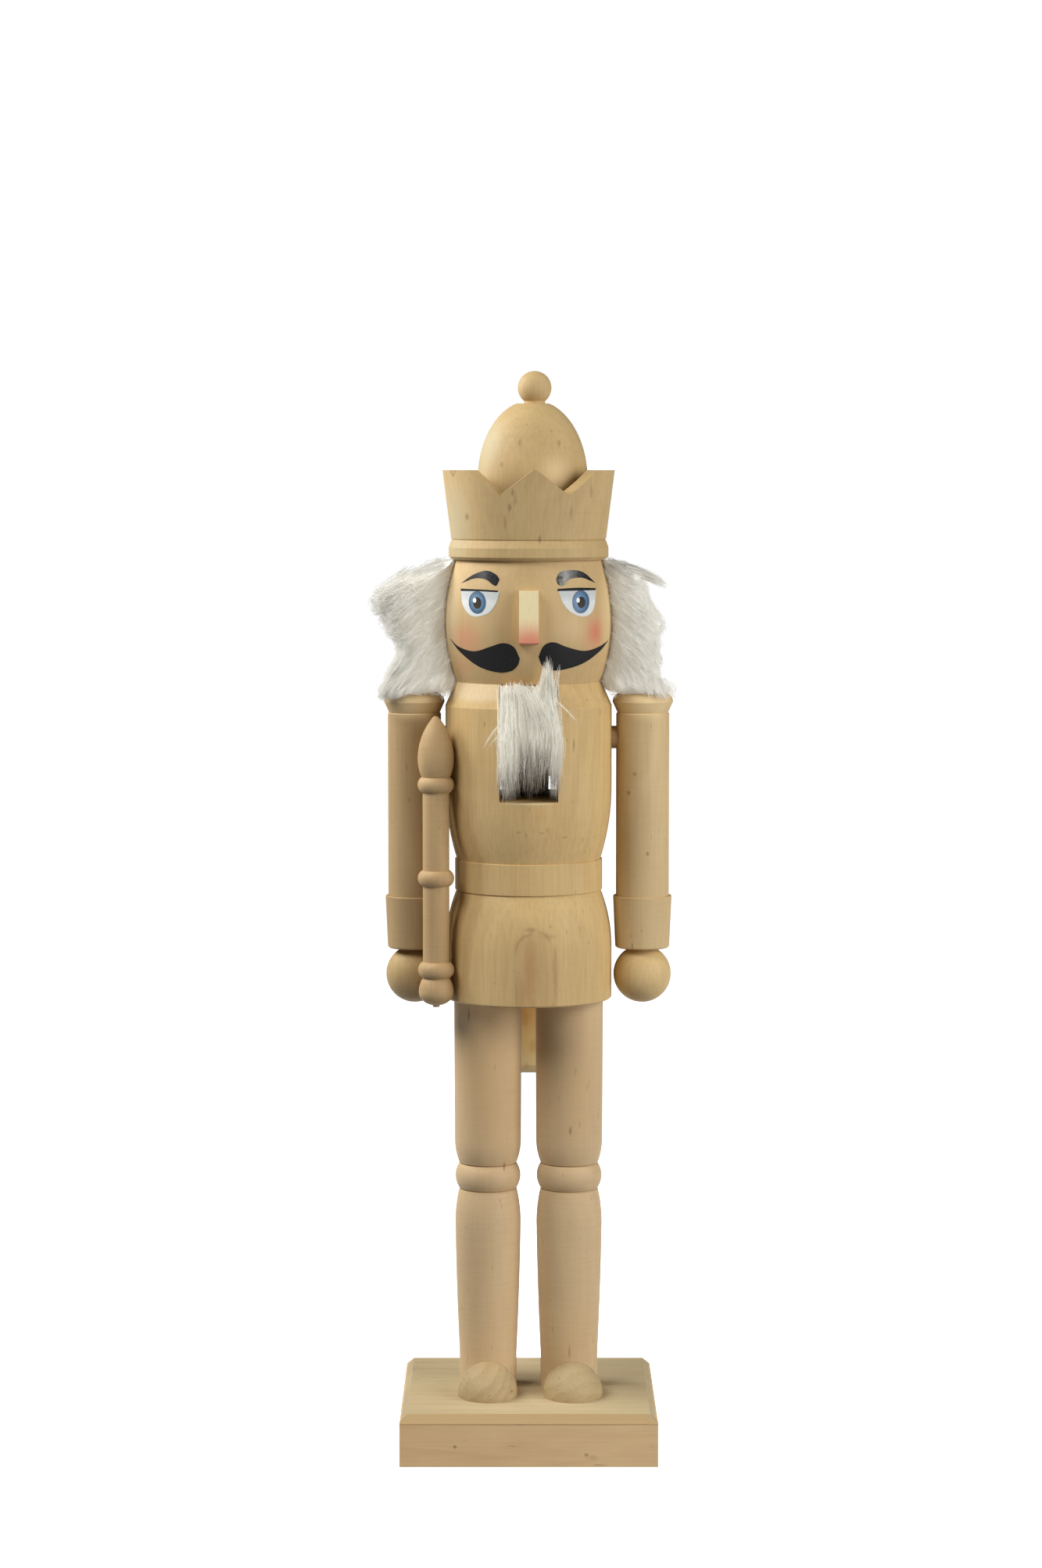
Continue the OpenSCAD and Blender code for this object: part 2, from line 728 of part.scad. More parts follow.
// Point of the hair in a column and row, inside (deep = 0) or outside (deep = 1)
function hair_point(column, row, deep) =
    let (angle = hair_from + (360 - 2 * hair_from) * column / hair_columns, share = row / hair_rows)
    let (at_side = pow(sin(angle), 2), low = hair_low_z + (1 - at_side) * (head_z + hair_lift - hair_low_z))
    let (z = low + (hair_top_z - low) * share)
    let (r = hair_inside(z) + deep * lookup(share, HAIR_PILE) * (hair_back + (1 - hair_back) * at_side))
    [r * sin(angle), -r * cos(angle), z];

module hair() {
    tall = hair_rows + 1;
    skin = (hair_columns + 1) * tall;
    // Corners of one cell of the outer skin, and the same on the inner skin
    function cell(c, r, base) = [base + c * tall + r, base + (c + 1) * tall + r,
        base + (c + 1) * tall + r + 1, base + c * tall + r + 1];
    function quad(a, b, c, d) = [[a, b, c], [a, c, d]];
    outer = [for (c = [0:hair_columns - 1], r = [0:hair_rows - 1])
        let (k = cell(c, r, skin)) each quad(k[3], k[2], k[1], k[0])];
    inner = [for (c = [0:hair_columns - 1], r = [0:hair_rows - 1])
        let (k = cell(c, r, 0)) each quad(k[0], k[1], k[2], k[3])];
    rims = [for (c = [0:hair_columns - 1], r = [0, hair_rows])
        let (a = c * tall + r, b = a + tall) each r == 0
            ? quad(a, a + skin, b + skin, b) : quad(b, b + skin, a + skin, a)];
    ends = [for (c = [0, hair_columns], r = [0:hair_rows - 1])
        let (a = c * tall + r, b = a + 1) each c == 0
            ? quad(b, b + skin, a + skin, a) : quad(a, a + skin, b + skin, b)];
    color("white") polyhedron(
        [for (deep = [0, 1], c = [0:hair_columns], r = [0:hair_rows]) hair_point(c, r, deep)],
        concat(outer, inner, rims, ends)
    );
}

// Crown, dome and finial

module crown() {
    bead_r_out = crown_low_r + crown_bead;
    flare = (crown_rim_r - crown_low_r) / (crown_h - crown_bead_h);
    floor_r = crown_low_r + flare * (crown_floor - crown_bead_h);
    line = 0.35;
    color("burlywood") difference() {
        translate([0, 0, crown_z]) turned([
            [bead_r_out - 2 * edge, 0], [bead_r_out, 2 * edge], [bead_r_out, crown_bead_h * 0.6],
            [crown_low_r, crown_bead_h - line], [crown_low_r - line, crown_bead_h],
            [crown_low_r, crown_bead_h + line], [crown_rim_r, crown_h],
            [crown_rim_r - crown_wall, crown_h], [floor_r - crown_wall, crown_floor]
        ]);
        for (notch = NOTCHES) notch_cut(notch[0], notch[1]);
        at_crown_dowel() dowel_hole(crown_dowel_r, crown_dowel_len);
        at_dome_dowel() dowel_hole(dome_dowel_r, dome_dowel_len);
    }
}

// A V across the crown's wall, from the dome outward
module notch_cut(angle, deep) {
    top = deep + crown_wall;
    half = top * tan(notch_half);
    translate([0, 0, crown_z + crown_h - deep]) rotate([0, 0, angle]) translate([0, -crown_rim_r, 0])
        rotate([90 + notch_fall, 0, 0])
        linear_extrude(4 * crown_wall, center = true)
        polygon([[0, 0], [half, top], [-half, top]]);
}

module crown_dowel() {
    color("peru") at_crown_dowel() dowel(crown_dowel_r, crown_dowel_len);
}

module dome() {
    crest = 0.6;
    color("burlywood") difference() {
        translate([dome_shift, 0, cup_z]) turned(concat(
            rise([dome_foot_r, 0], [dome_r, dome_mid]),
            lifted(oval(dome_r, dome_flat_r, dome_h - crest - dome_mid), dome_mid),
            [[dome_flat_r - 2.5 * crest, dome_h]]
        ));
        at_dome_dowel() dowel_hole(dome_dowel_r, dome_dowel_len);
        at_finial_dowel() dowel_hole(finial_dowel_r, finial_dowel_len);
    }
}

module dome_dowel() {
    color("peru") at_dome_dowel() dowel(dome_dowel_r, dome_dowel_len);
}

module finial_ball() {
    color("burlywood") difference() {
        translate([finial_x, 0, finial_z]) {
            translate([0, 0, ball_rise]) sphere(ball_r);
            cylinder(r = ball_neck_r, h = ball_rise);
        }
        translate([finial_x, 0, finial_z - ball_r]) cube(2 * ball_r, center = true);
        at_finial_dowel() dowel_hole(finial_dowel_r, finial_dowel_len);
    }
}

module finial_dowel() {
    color("peru") at_finial_dowel() dowel(finial_dowel_r, finial_dowel_len);
}

// Arms and hands

module arm(side) {
    cap_z = arm_len - cap_h;
    groove = 0.4;
    difference() {
        translate([side * arm_x, 0, arm_z]) turned(concat(
            [[cuff_low_r - edge, 0], [cuff_low_r, edge]],
            [[cuff_r, cuff_h - edge / 2], [cuff_r - edge / 2, cuff_h]],
            [[arm_r, cuff_h], [arm_r, cap_z - groove], [arm_r - groove, cap_z]],
            [[cap_r, arm_len - cap_round]],
            swell([cap_r, arm_len - cap_round], [cap_r - cap_round, arm_len])
        ));
        at_shoulder(side) dowel_hole(shoulder_dowel_r, shoulder_dowel_len);
        at_wrist(side) dowel_hole(wrist_dowel_r, wrist_dowel_len);
    }
}

module right_arm() { color("tan") arm(RIGHT); }

module left_arm() { color("tan") arm(LEFT); }

module shoulder_dowels() {
    color("peru") for (side = [RIGHT, LEFT]) at_shoulder(side) dowel(shoulder_dowel_r, shoulder_dowel_len);
}

// A ball with a flat on top, where it meets the cuff
module hand(side) {
    difference() {
        translate([side * arm_x, 0, hand_z]) sphere(hand_r);
        translate([side * arm_x, 0, arm_z + hand_r]) cube(2 * hand_r, center = true);
        at_wrist(side) dowel_hole(wrist_dowel_r, wrist_dowel_len);
        if (side == RIGHT) at_peg() dowel_hole(peg_r, peg_len);
    }
}

module right_hand() { color("goldenrod") hand(RIGHT); }

module left_hand() { color("goldenrod") hand(LEFT); }

module wrist_dowels() {
    color("peru") for (side = [RIGHT, LEFT]) at_wrist(side) dowel(wrist_dowel_r, wrist_dowel_len);
}

// Sceptre

// Profile of a half-round bead that starts at height z
function bead_at(z) = bow([bead_waist_r, z], [bead_waist_r, z + bead_h], bead_r - bead_waist_r);

module sceptre() {
    nipple_r = 1.2;
    nipple_h = 0.8;
    tip_r = 0.7;
    knob_low = oval(knob_r, nipple_r + 1, knob_h / 2 - nipple_h);
    acorn_waist_r = 0.8 * acorn_r;
    acorn_low = 0.3 * acorn_h;
    mid_z = knob_h + bead_h + shaft_low;
    high_z = mid_z + bead_h + shaft_high;
    acorn_z = high_z + bead_h;
    color("tan") difference() {
        translate([-sceptre_x, -sceptre_y, sceptre_z]) turned(concat(
            [[nipple_r, 0], [nipple_r, nipple_h]],
            turned_round([for (p = knob_low) [p[0], knob_h / 2 - p[1]]]),
            [[knob_r, knob_h / 2]],
            lifted(oval(knob_r, bead_waist_r - 0.4, knob_h / 2), knob_h / 2),
            bead_at(knob_h),
            [[shaft_r, knob_h + bead_h], [shaft_r, mid_z]],
            bead_at(mid_z),
            [[shaft_r, mid_z + bead_h], [shaft_r, high_z]],
            bead_at(high_z),
            rise([acorn_waist_r, acorn_z], [acorn_r, acorn_z + acorn_low]),
            swell([acorn_r, acorn_z + acorn_low], [tip_r, sceptre_len])
        ));
        at_peg() dowel_hole(peg_r, peg_len);
    }
}

module sceptre_peg() {
    color("peru") at_peg() dowel(peg_r, peg_len);
}

base_block();
leg_screws();
right_leg();
left_leg();
right_foot();
left_foot();
foot_dowels();
hip_dowels();
torso();
pivot_pin();
jaw_lever();
jaw_block();
jaw_dowel();
beard();
neck_dowels();
head();
nose();
hair();
crown();
crown_dowel();
dome();
dome_dowel();
finial_ball();
finial_dowel();
right_arm();
left_arm();
shoulder_dowels();
right_hand();
left_hand();
wrist_dowels();
sceptre();
sceptre_peg();
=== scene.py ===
import json
import math
import random
import bpy
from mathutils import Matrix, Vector

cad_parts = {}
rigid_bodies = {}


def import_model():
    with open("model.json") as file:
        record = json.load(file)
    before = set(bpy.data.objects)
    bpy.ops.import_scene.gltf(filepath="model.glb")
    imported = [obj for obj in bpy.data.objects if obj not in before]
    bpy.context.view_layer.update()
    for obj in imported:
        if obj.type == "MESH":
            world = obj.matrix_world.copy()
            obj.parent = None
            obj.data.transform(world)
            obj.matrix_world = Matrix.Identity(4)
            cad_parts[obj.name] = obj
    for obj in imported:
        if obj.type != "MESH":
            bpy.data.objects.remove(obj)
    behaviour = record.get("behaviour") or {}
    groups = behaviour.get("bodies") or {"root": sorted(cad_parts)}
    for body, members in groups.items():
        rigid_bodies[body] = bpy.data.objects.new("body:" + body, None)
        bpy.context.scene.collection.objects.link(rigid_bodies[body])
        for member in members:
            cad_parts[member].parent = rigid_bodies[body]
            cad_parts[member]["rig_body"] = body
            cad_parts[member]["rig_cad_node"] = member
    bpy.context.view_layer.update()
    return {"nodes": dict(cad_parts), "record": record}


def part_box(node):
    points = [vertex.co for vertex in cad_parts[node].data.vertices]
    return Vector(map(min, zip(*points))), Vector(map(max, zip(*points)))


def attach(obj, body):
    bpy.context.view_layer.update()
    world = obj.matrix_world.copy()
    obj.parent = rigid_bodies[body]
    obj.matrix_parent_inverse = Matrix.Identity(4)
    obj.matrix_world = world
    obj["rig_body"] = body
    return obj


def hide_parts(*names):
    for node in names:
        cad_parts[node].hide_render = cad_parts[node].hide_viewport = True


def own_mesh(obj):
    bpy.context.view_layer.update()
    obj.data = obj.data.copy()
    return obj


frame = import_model()
nodes = frame["nodes"]
mm = 0.001  # scene sizes below are in millimetres
print("frame loaded:", len(nodes), "wood, steel and fur parts")


# small helpers for selecting and finishing
def selectOnly(obj):
    bpy.ops.object.select_all(action="DESELECT")
    obj.select_set(True)
    bpy.context.view_layer.objects.active = obj


def editAll(obj):
    selectOnly(obj)
    bpy.ops.object.mode_set(mode="EDIT")
    bpy.ops.mesh.select_all(action="SELECT")


def objectMode():
    bpy.ops.object.mode_set(mode="OBJECT")


def newObject(name, data):
    obj = bpy.data.objects.new(name, data)
    bpy.context.scene.collection.objects.link(obj)
    return obj


def setMaterial(obj, material):
    obj.data.materials.clear()
    obj.data.materials.append(material)


# node helpers, which add to the node tree in hand
inHand = dict(tree=None)


def plug(node, ins):
    for key, value in ins.items():
        if isinstance(value, bpy.types.NodeSocket):
            inHand["tree"].links.new(value, node.inputs[key])
        else:
            node.inputs[key].default_value = value


def addNode(kind, ins=None, **props):
    node = inHand["tree"].nodes.new(kind)
    for key, value in props.items():
        setattr(node, key, value)
    plug(node, ins or {})
    return node


def calc(operation, a, b=0.0, c=0.0):
    return addNode("ShaderNodeMath", {0: a, 1: b, 2: c}, operation=operation).outputs[0]


def times(a, b):
    return calc("MULTIPLY", a, b)


def vectorCalc(operation, a, b=(0.0, 0.0, 0.0)):
    return addNode("ShaderNodeVectorMath", {0: a, 1: b}, operation=operation).outputs


def along(vector, scale):
    return vectorCalc("MULTIPLY", vector, scale)["Vector"]


def axes(place):
    return addNode("ShaderNodeSeparateXYZ", {0: place}).outputs


def cloud(vector, scale, detail=2.0):
    ins = {"Vector": along(vector, scale), "Scale": 1.0, "Detail": detail}
    return addNode("ShaderNodeTexNoise", ins).outputs[0]


def wobble(vector, scale, detail):
    return calc("SUBTRACT", cloud(vector, scale, detail), 0.5)  # about zero


def ease(value, low, high, outLow=0.0, outHigh=1.0):
    ins = {0: value, 1: low, 2: high, 3: outLow, 4: outHigh}
    return addNode("ShaderNodeMapRange", ins, interpolation_type="SMOOTHSTEP").outputs[0]


def rgba(colour):
    return (*colour, 1.0)


def grey(level):
    return (level, level, level)


def tint(amount, under, over, blend="MIX"):
    ins = {0: amount, 6: under, 7: rgba(over)}
    return addNode("ShaderNodeMix", ins, data_type="RGBA", blend_type=blend).outputs[2]


def ramp(value, stops):
    node = addNode("ShaderNodeValToRGB", {0: value})
    elements = node.color_ramp.elements
    for i, (position, colour) in enumerate(stops):
        last = i == len(stops) - 1
        element = elements[0] if i == 0 else elements[-1] if last else elements.new(position)
        element.position, element.color = position, rgba(colour)
    return node.outputs[0]


def startMaterial(name):
    material = bpy.data.materials.new(name)
    material.use_nodes = True
    inHand["tree"] = material.node_tree
    coords = addNode("ShaderNodeTexCoord").outputs["Object"]
    place = along(coords, (1 / mm, 1 / mm, 1 / mm))  # millimetres
    return material, material.node_tree.nodes["Principled BSDF"], place


surface = dict(bumpHeight=0.05, roughBand=(0.3, 0.7))


def finishSurface(shader, colour, noise, height, look):
    smoothest, roughest = look["rough"], look["rough"] + look["roughSpread"]
    ins = {"Strength": look["bump"], "Distance": surface["bumpHeight"] * mm, "Height": height}
    plug(shader, {
        "Base Color": colour, "Normal": addNode("ShaderNodeBump", ins).outputs[0],
        "Roughness": ease(noise, *surface["roughBand"], smoothest, roughest),
        "Specular IOR Level": look["shine"],
    })


# camera and studio
camera = dict(place=(-0.00269, -1.3378, 0.345), tiltDown=0.0824, lens=87.0, sensor=36.0)
studio = dict(
    skyGlow=0.08, aim=(0.0, 0.0, 0.25),
    floorSize=12.0, floorTone=0.92, floorRough=0.9, floorGlow=1.0,
    boxes=dict(
        keyBox=dict(place=(-0.6, -0.5, 1.0), power=7.2, size=(0.5, 0.5)),
        rimBox=dict(place=(-0.45, 0.08, 0.55), power=3.0, size=(0.3, 0.3)),
        sideBox=dict(place=(1.0, -0.62, 0.52), power=13.0, size=(0.8, 0.9)),
    ),
)


def makeCamera():
    data = bpy.data.cameras.new("photoCamera")
    data.lens = camera["lens"]
    data.sensor_width = camera["sensor"]
    obj = newObject("photoCamera", data)
    obj.location = camera["place"]
    obj.rotation_euler = (math.pi / 2 - camera["tiltDown"], 0, 0)
    bpy.context.scene.camera = obj


def makeSoftbox(name, box):
    data = bpy.data.lights.new(name, "AREA")
    data.shape = "RECTANGLE"
    data.size, data.size_y = box["size"]
    data.energy = box["power"]
    obj = newObject(name, data)
    obj.location = box["place"]
    look = Vector(studio["aim"]) - Vector(box["place"])
    obj.rotation_euler = look.to_track_quat("-Z", "Y").to_euler()
    obj.visible_camera = False


def makeStudio():
    scene = bpy.context.scene
    scene.view_settings.view_transform = "Standard"
    world = bpy.data.worlds.new("whiteTent")
    scene.world = world
    world.use_nodes = True
    inHand["tree"] = world.node_tree
    world.node_tree.nodes.clear()
    # a faint even glow lights the figure, and the camera sees plain white
    white = rgba(grey(1.0))
    fill = addNode("ShaderNodeBackground", {"Color": white, "Strength": studio["skyGlow"]})
    plain = addNode("ShaderNodeBackground", {"Color": white, "Strength": 1.0})
    seen = addNode("ShaderNodeLightPath").outputs["Is Camera Ray"]
    mix = addNode("ShaderNodeMixShader", {0: seen, 1: fill.outputs[0], 2: plain.outputs[0]})
    addNode("ShaderNodeOutputWorld", {0: mix.outputs[0]})
    for name, box in studio["boxes"].items():
        makeSoftbox(name, box)
    bpy.ops.object.select_all(action="DESELECT")
    bpy.ops.mesh.primitive_plane_add(size=studio["floorSize"], location=(0, 0, 0))
    floor = bpy.context.object
    floor.name = "floor"
    paper = bpy.data.materials.new("palePaper")
    paper.use_nodes = True
    plug(paper.node_tree.nodes["Principled BSDF"], {
        "Base Color": rgba(grey(studio["floorTone"])), "Roughness": studio["floorRough"],
        "Emission Color": white, "Emission Strength": studio["floorGlow"],
    })
    setMaterial(floor, paper)
    floor.visible_diffuse = False  # a cut-out white floor that throws no light back


makeCamera()
makeStudio()
print("camera and studio ready")


# marks on the wood, and patches of painted light and shade: where on the figure and how large, in
# millimetres, and how deep in colour
markEdge = dict(scale=(0.9, 0.9, 0.22), detail=3.0, core=0.2, ragged=0.9)


def mark(at, size, depth, colour, **edge):
    return dict(at=at, size=size, depth=depth, colour=colour, **edge)


def flecks(size, depth, *points):
    return tuple(mark(p, size, depth, knotBrown, ragged=markEdge["ragged"]) for p in points)


def markAmount(place, spot):
    offset = vectorCalc("SUBTRACT", place, spot["at"])["Vector"]
    scaled = vectorCalc("DIVIDE", offset, spot["size"])["Vector"]
    distance = vectorCalc("LENGTH", scaled)["Value"]
    if "ragged" in spot:
        edge = wobble(place, markEdge["scale"], markEdge["detail"])
        distance = calc("MULTIPLY_ADD", edge, spot["ragged"], distance)
    return ease(distance, spot.get("core", markEdge["core"]), 1.0, spot["depth"], 0.0)


# one wood for all turned and sawn pieces, each finish changes what differs
plainWood = dict(
    light=(0.66, 0.485, 0.255), dark=(0.43, 0.275, 0.12), fleck=(0.20, 0.105, 0.045),
    pith=(6.0, 70.0), ringGap=6.0, ringDepth=0.16, fibreDepth=0.2, blotchDepth=0.22,
    latheDepth=0.07, fleckDepth=0.5, grainTurn=(0.0, 0.0, 0.0), rough=0.55, roughSpread=0.15,
    shine=0.3, bump=0.25, fibreBump=0.5, heart=None, zone=None, spots=(),
)
rings = dict(
    sway=(0.045, 0.045, 0.012), swayTurns=4.0, late=(0.1, 0.86), end=(0.88, 1.0), faint=0.25)
# noise of the grain: its scale across and along, its detail, and the band of it that shows
grainNoise = dict(
    strength=((0.03, 0.03, 0.01), 2.0, (0.3, 0.7)),
    fibre=((1.2, 1.2, 0.05), 4.0, (0.3, 0.75)),
    patch=((0.05, 0.05, 0.02), 2.0, (0.3, 0.7)),
    lathe=((0.09, 0.09, 1.1), 3.0, (0.3, 0.75)),
    pores=((0.75, 0.75, 0.16), 2.0, (0.69, 0.78)),
    stain=((0.2, 0.2, 0.05), 3.0, (0.42, 0.6)),
)


def grainPart(vector, kind, most=1.0, least=0.0):
    scale, detail, band = grainNoise[kind]
    noise = cloud(vector, scale, detail)
    return noise, ease(noise, *band, least, most)


def heartStain(place, grain, radius, heart):
    # darker heartwood inside one ring, with a broken stain along its edge
    wavy = calc("MULTIPLY_ADD", cloud(grain, heart["waves"]), heart["sway"], radius)
    low, high = (heart["edge"] + shift for shift in heart["soft"])
    core = ease(wavy, low, high, 0.0, heart["depth"])
    fromEdge = calc("ABSOLUTE", calc("SUBTRACT", wavy, heart["edge"]))
    line = ease(fromEdge, 0.0, heart["lineWidth"], heart["line"], 0.0)
    broken = times(line, grainPart(grain, "stain")[1])
    below = ease(axes(place)["Z"], *heart["fade"], 1.0, 0.0)
    return times(calc("ADD", core, broken), below)


def woodMaterial(name, **changes):
    look = dict(plainWood, **changes)
    material, shader, place = startMaterial(name)
    ins = {"Vector": place, "Rotation": look["grainTurn"]}
    grain = addNode("ShaderNodeMapping", ins).outputs[0]
    # growth rings round a pith line that runs along the grain
    fromPith = vectorCalc("SUBTRACT", grain, (*look["pith"], 0.0))["Vector"]
    radius = vectorCalc("LENGTH", along(fromPith, (1.0, 1.0, 0.0)))["Value"]
    turns = calc("DIVIDE", radius, look["ringGap"])
    sway = cloud(grain, rings["sway"])
    saw = calc("FRACT", calc("MULTIPLY_ADD", sway, rings["swayTurns"], turns))
    lateWood = ease(saw, *rings["late"])
    ring = times(lateWood, ease(saw, *rings["end"], 1.0, 0.0))
    strength = grainPart(grain, "strength", 1.0, rings["faint"])[1]
    ringPart = times(times(ring, strength), look["ringDepth"])
    # fine fibres, soft patches and tool marks
    fibre, fibrePart = grainPart(grain, "fibre", look["fibreDepth"])
    patchPart = grainPart(grain, "patch", look["blotchDepth"])[1]
    lathe, lathePart = grainPart(place, "lathe", look["latheDepth"])
    fine = calc("ADD", ringPart, fibrePart)
    total = calc("ADD", fine, calc("ADD", patchPart, lathePart))
    colour = tint(total, rgba(look["light"]), look["dark"])
    if look["heart"]:
        stain = heartStain(place, grain, radius, look["heart"])
        colour = tint(stain, colour, look["heart"]["colour"])
    if look["zone"]:
        # painted shade: a face or an end made darker than the rest
        zone = look["zone"]
        inside = ease(axes(place)[zone["axis"]], *zone["fade"])
        colour = tint(inside, colour, zone["tone"], "MULTIPLY")
    # short dark pores
    pores = grainPart(grain, "pores", look["fleckDepth"])[1]
    colour = tint(pores, colour, look["fleck"])
    # marks on the wood, and patches of painted light and shade
    for spot in look["spots"]:
        colour = tint(markAmount(place, spot), colour, spot["colour"])
    height = calc("ADD", times(fibre, look["fibreBump"]), lathe)
    finishSurface(shader, colour, fibre, height, look)
    return material


def steelMaterial(name, **look):
    material, shader, place = startMaterial(name)
    noise = cloud(place, (look["grain"],) * 3, look["detail"])
    darker = [c * (1 - look["vary"]) for c in look["colour"]]
    colour = tint(noise, rgba(look["colour"]), darker)
    plug(shader, {"Metallic": 1.0})
    finishSurface(shader, colour, noise, noise, look)
    return material


# finishes of the wooden pieces
alongX = (0.0, math.pi / 2, 0.0)
alongY = (math.pi / 2, 0.0, 0.0)
knotBrown = (0.30, 0.17, 0.08)
heartBrown = (0.36, 0.21, 0.095)
rust = (0.42, 0.21, 0.08)
leverRust = (0.74, 0.34, 0.09)
# pale colour of the painted highlights on the crown and dome
paintedPaleHighlight = (0.49, 0.44, 0.28)
peach = (0.70, 0.24, 0.14)
rosy = (0.62, 0.13, 0.09)
cheeksAndFaceLight = (
    mark((-22.8, -20.0, 286.6), (11.5, 13.0, 9.0), 0.5, peach, core=0.0),
    mark((22.6, -18.0, 289.0), (8.5, 11.0, 10.5), 0.45, peach, core=0.0),
    mark((23.2, -18.0, 289.0), (4.0, 9.0, 6.5), 0.55, rosy, core=0.0),
    mark((-23.0, -15.0, 277.0), (7.0, 10.0, 4.5), 0.2, peach, core=0.0),
    # painted light on the face's left and right edges and on its right cheek, and painted shade
    # between the brows
    mark((-27.5, -8.0, 296.0), (9.0, 14.0, 22.0), 0.45, (0.96, 0.80, 0.53), core=0.0),
    mark((27.5, -8.0, 296.0), (6.0, 14.0, 22.0), 0.3, (0.98, 0.78, 0.46), core=0.0),
    mark((15.0, -25.0, 291.0), (9.0, 12.0, 9.0), 0.2, (0.98, 0.74, 0.42), core=0.0),
    mark((0.0, -29.0, 310.0), (9.0, 12.0, 9.0), 0.2, (0.30, 0.20, 0.09), core=0.0),
)
baseKnotsAndShade = (
    mark((-25.7, -45.0, 7.2), (1.0, 3.0, 0.9), 0.8, knotBrown, ragged=0.4),
    mark((20.1, -45.0, 4.4), (1.2, 3.0, 0.8), 0.7, knotBrown, ragged=0.6),
    mark((22.0, -45.0, 3.4), (3.0, 3.0, 1.6), 0.25, knotBrown, ragged=1.0),
    mark((1.9, -43.5, 17.6), (1.6, 2.0, 0.6), 0.5, knotBrown, ragged=0.8),
    mark((-3.2, -45.0, 15.0), (3.0, 2.0, 0.5), 0.4, knotBrown, ragged=0.8),
    # painted shade: a darker band along the front bevel
    mark((0.0, -43.8, 16.7), (140.0, 3.0, 2.4), 0.9, (0.455, 0.305, 0.14), core=0.75),
)
torsoHeart = dict(
    edge=229.55, soft=(-0.5, 0.2), waves=(0.5, 0.5, 0.03), sway=0.4, depth=0.2, line=0.45,
    lineWidth=0.14, fade=(186.0, 200.0), colour=heartBrown,
)
torsoMarksAndHighlights = (
    mark((0.6, -29.0, 171.0), (3.6, 16.0, 18.0), 0.48, rust, ragged=0.8),
    mark((-2.8, -29.0, 163.0), (2.2, 16.0, 11.0), 0.42, rust, ragged=0.9),
    mark((4.8, -29.0, 168.0), (4.5, 16.0, 15.0), 0.16, heartBrown, ragged=0.8),
    mark((0.7, -29.0, 186.0), (3.4, 16.0, 1.3), 0.6, heartBrown, ragged=0.9),
    mark((9.4, -28.0, 169.0), (1.3, 16.0, 16.0), 0.5, heartBrown, ragged=0.8),
    mark((7.4, -28.0, 183.4), (3.2, 16.0, 1.5), 0.35, heartBrown, ragged=0.9),
    mark((4.2, -28.0, 226.6), (2.4, 12.0, 2.6), 0.3, (0.62, 0.33, 0.10), ragged=0.8),
    # painted highlights: a light line along the slot's lower edge and a pale patch on the left
    # shoulder
    mark((0.0, -28.6, 229.85), (12.0, 3.0, 0.55), 0.6, (0.95, 0.78, 0.48)),
    mark((-18.0, -18.0, 268.4), (24.0, 24.0, 4.8), 0.34, (0.93, 0.80, 0.56), core=0.4),
    *flecks((1.5, 10.0, 0.6), 0.4, (-3.4, -28.0, 219.9), (4.6, -28.0, 219.6), (12.5, -26.0, 217.9)),
    *flecks((0.7, 10.0, 1.2), 0.35, (-0.9, -28.0, 218.8), (6.4, -28.0, 220.6),
            (18.9, -22.0, 216.5)),
    *flecks((0.6, 8.0, 3.2), 0.6, (15.7, -24.5, 250.0)),
)
crownFlecksAndLight = (
    # painted light: pale patches on the lit left side of the crown and dome, and a lighter patch
    # low on the right
    mark((-26.0, -12.0, 326.0), (10.0, 18.0, 24.0), 0.6, paintedPaleHighlight, core=0.0),
    mark((-16.0, -8.0, 355.0), (11.0, 16.0, 20.0), 0.75, paintedPaleHighlight, core=0.0),
    mark((9.0, -17.0, 345.0), (9.0, 11.0, 8.0), 0.55, (0.78, 0.58, 0.31), core=0.0),
    *flecks((0.9, 8.0, 2.0), 0.75, (-5.5, -29.0, 337.6), (-6.6, -28.5, 332.4),
            (-21.4, -19.0, 329.2), (3.7, -27.5, 321.4)),
    *flecks((0.8, 8.0, 3.6), 0.5, (-4.7, -29.0, 335.0), (-8.2, -27.0, 327.4),
            (14.7, -25.0, 330.9), (21.7, -20.0, 338.1)),
    *flecks((0.8, 8.0, 1.8), 0.6, (-3.1, -17.0, 354.9), (10.5, -14.0, 354.6), (-9.5, -17.0, 347.3)),
)
leverMarksAndShading = (
    # painted shade at the lever's top and painted light at its lower end
    mark((0.0, 31.0, 153.0), (12.0, 6.0, 15.0), 0.7, (1.0, 0.54, 0.15), core=0.2),
    mark((0.0, 31.0, 126.0), (12.0, 6.0, 11.0), 0.8, (1.0, 0.80, 0.43), core=0.2),
    mark((-1.2, 31.0, 146.5), (2.6, 4.0, 4.5), 0.4, leverRust, ragged=0.9),
    mark((1.6, 31.0, 136.0), (2.2, 4.0, 3.5), 0.35, leverRust, ragged=0.9),
    mark((-0.6, 31.0, 129.0), (1.2, 4.0, 2.0), 0.3, leverRust, ragged=0.9),
)
warmThigh = dict(size=(16.0, 24.0, 46.0), depth=0.55, colour=(0.57, 0.365, 0.165), core=0.3)
legMarksAndLight = (
    dict(warmThigh, at=(-14.0, -8.0, 134.0)),
    dict(warmThigh, at=(14.0, -8.0, 134.0), depth=0.4),
    # painted light: a pale patch that lifts the shadow on the outer top of the figure's right leg
    mark((-25.0, -8.0, 164.0), (17.0, 18.0, 20.0), 1.0, (1.0, 0.73, 0.42), core=0.35),
    *flecks((0.8, 6.0, 2.2), 0.8, (14.7, -11.5, 112.4), (-8.7, -10.0, 99.0)),
    *flecks((0.6, 6.0, 3.4), 0.55, (14.5, -10.5, 32.4), (-21.1, -10.0, 153.3)),
)
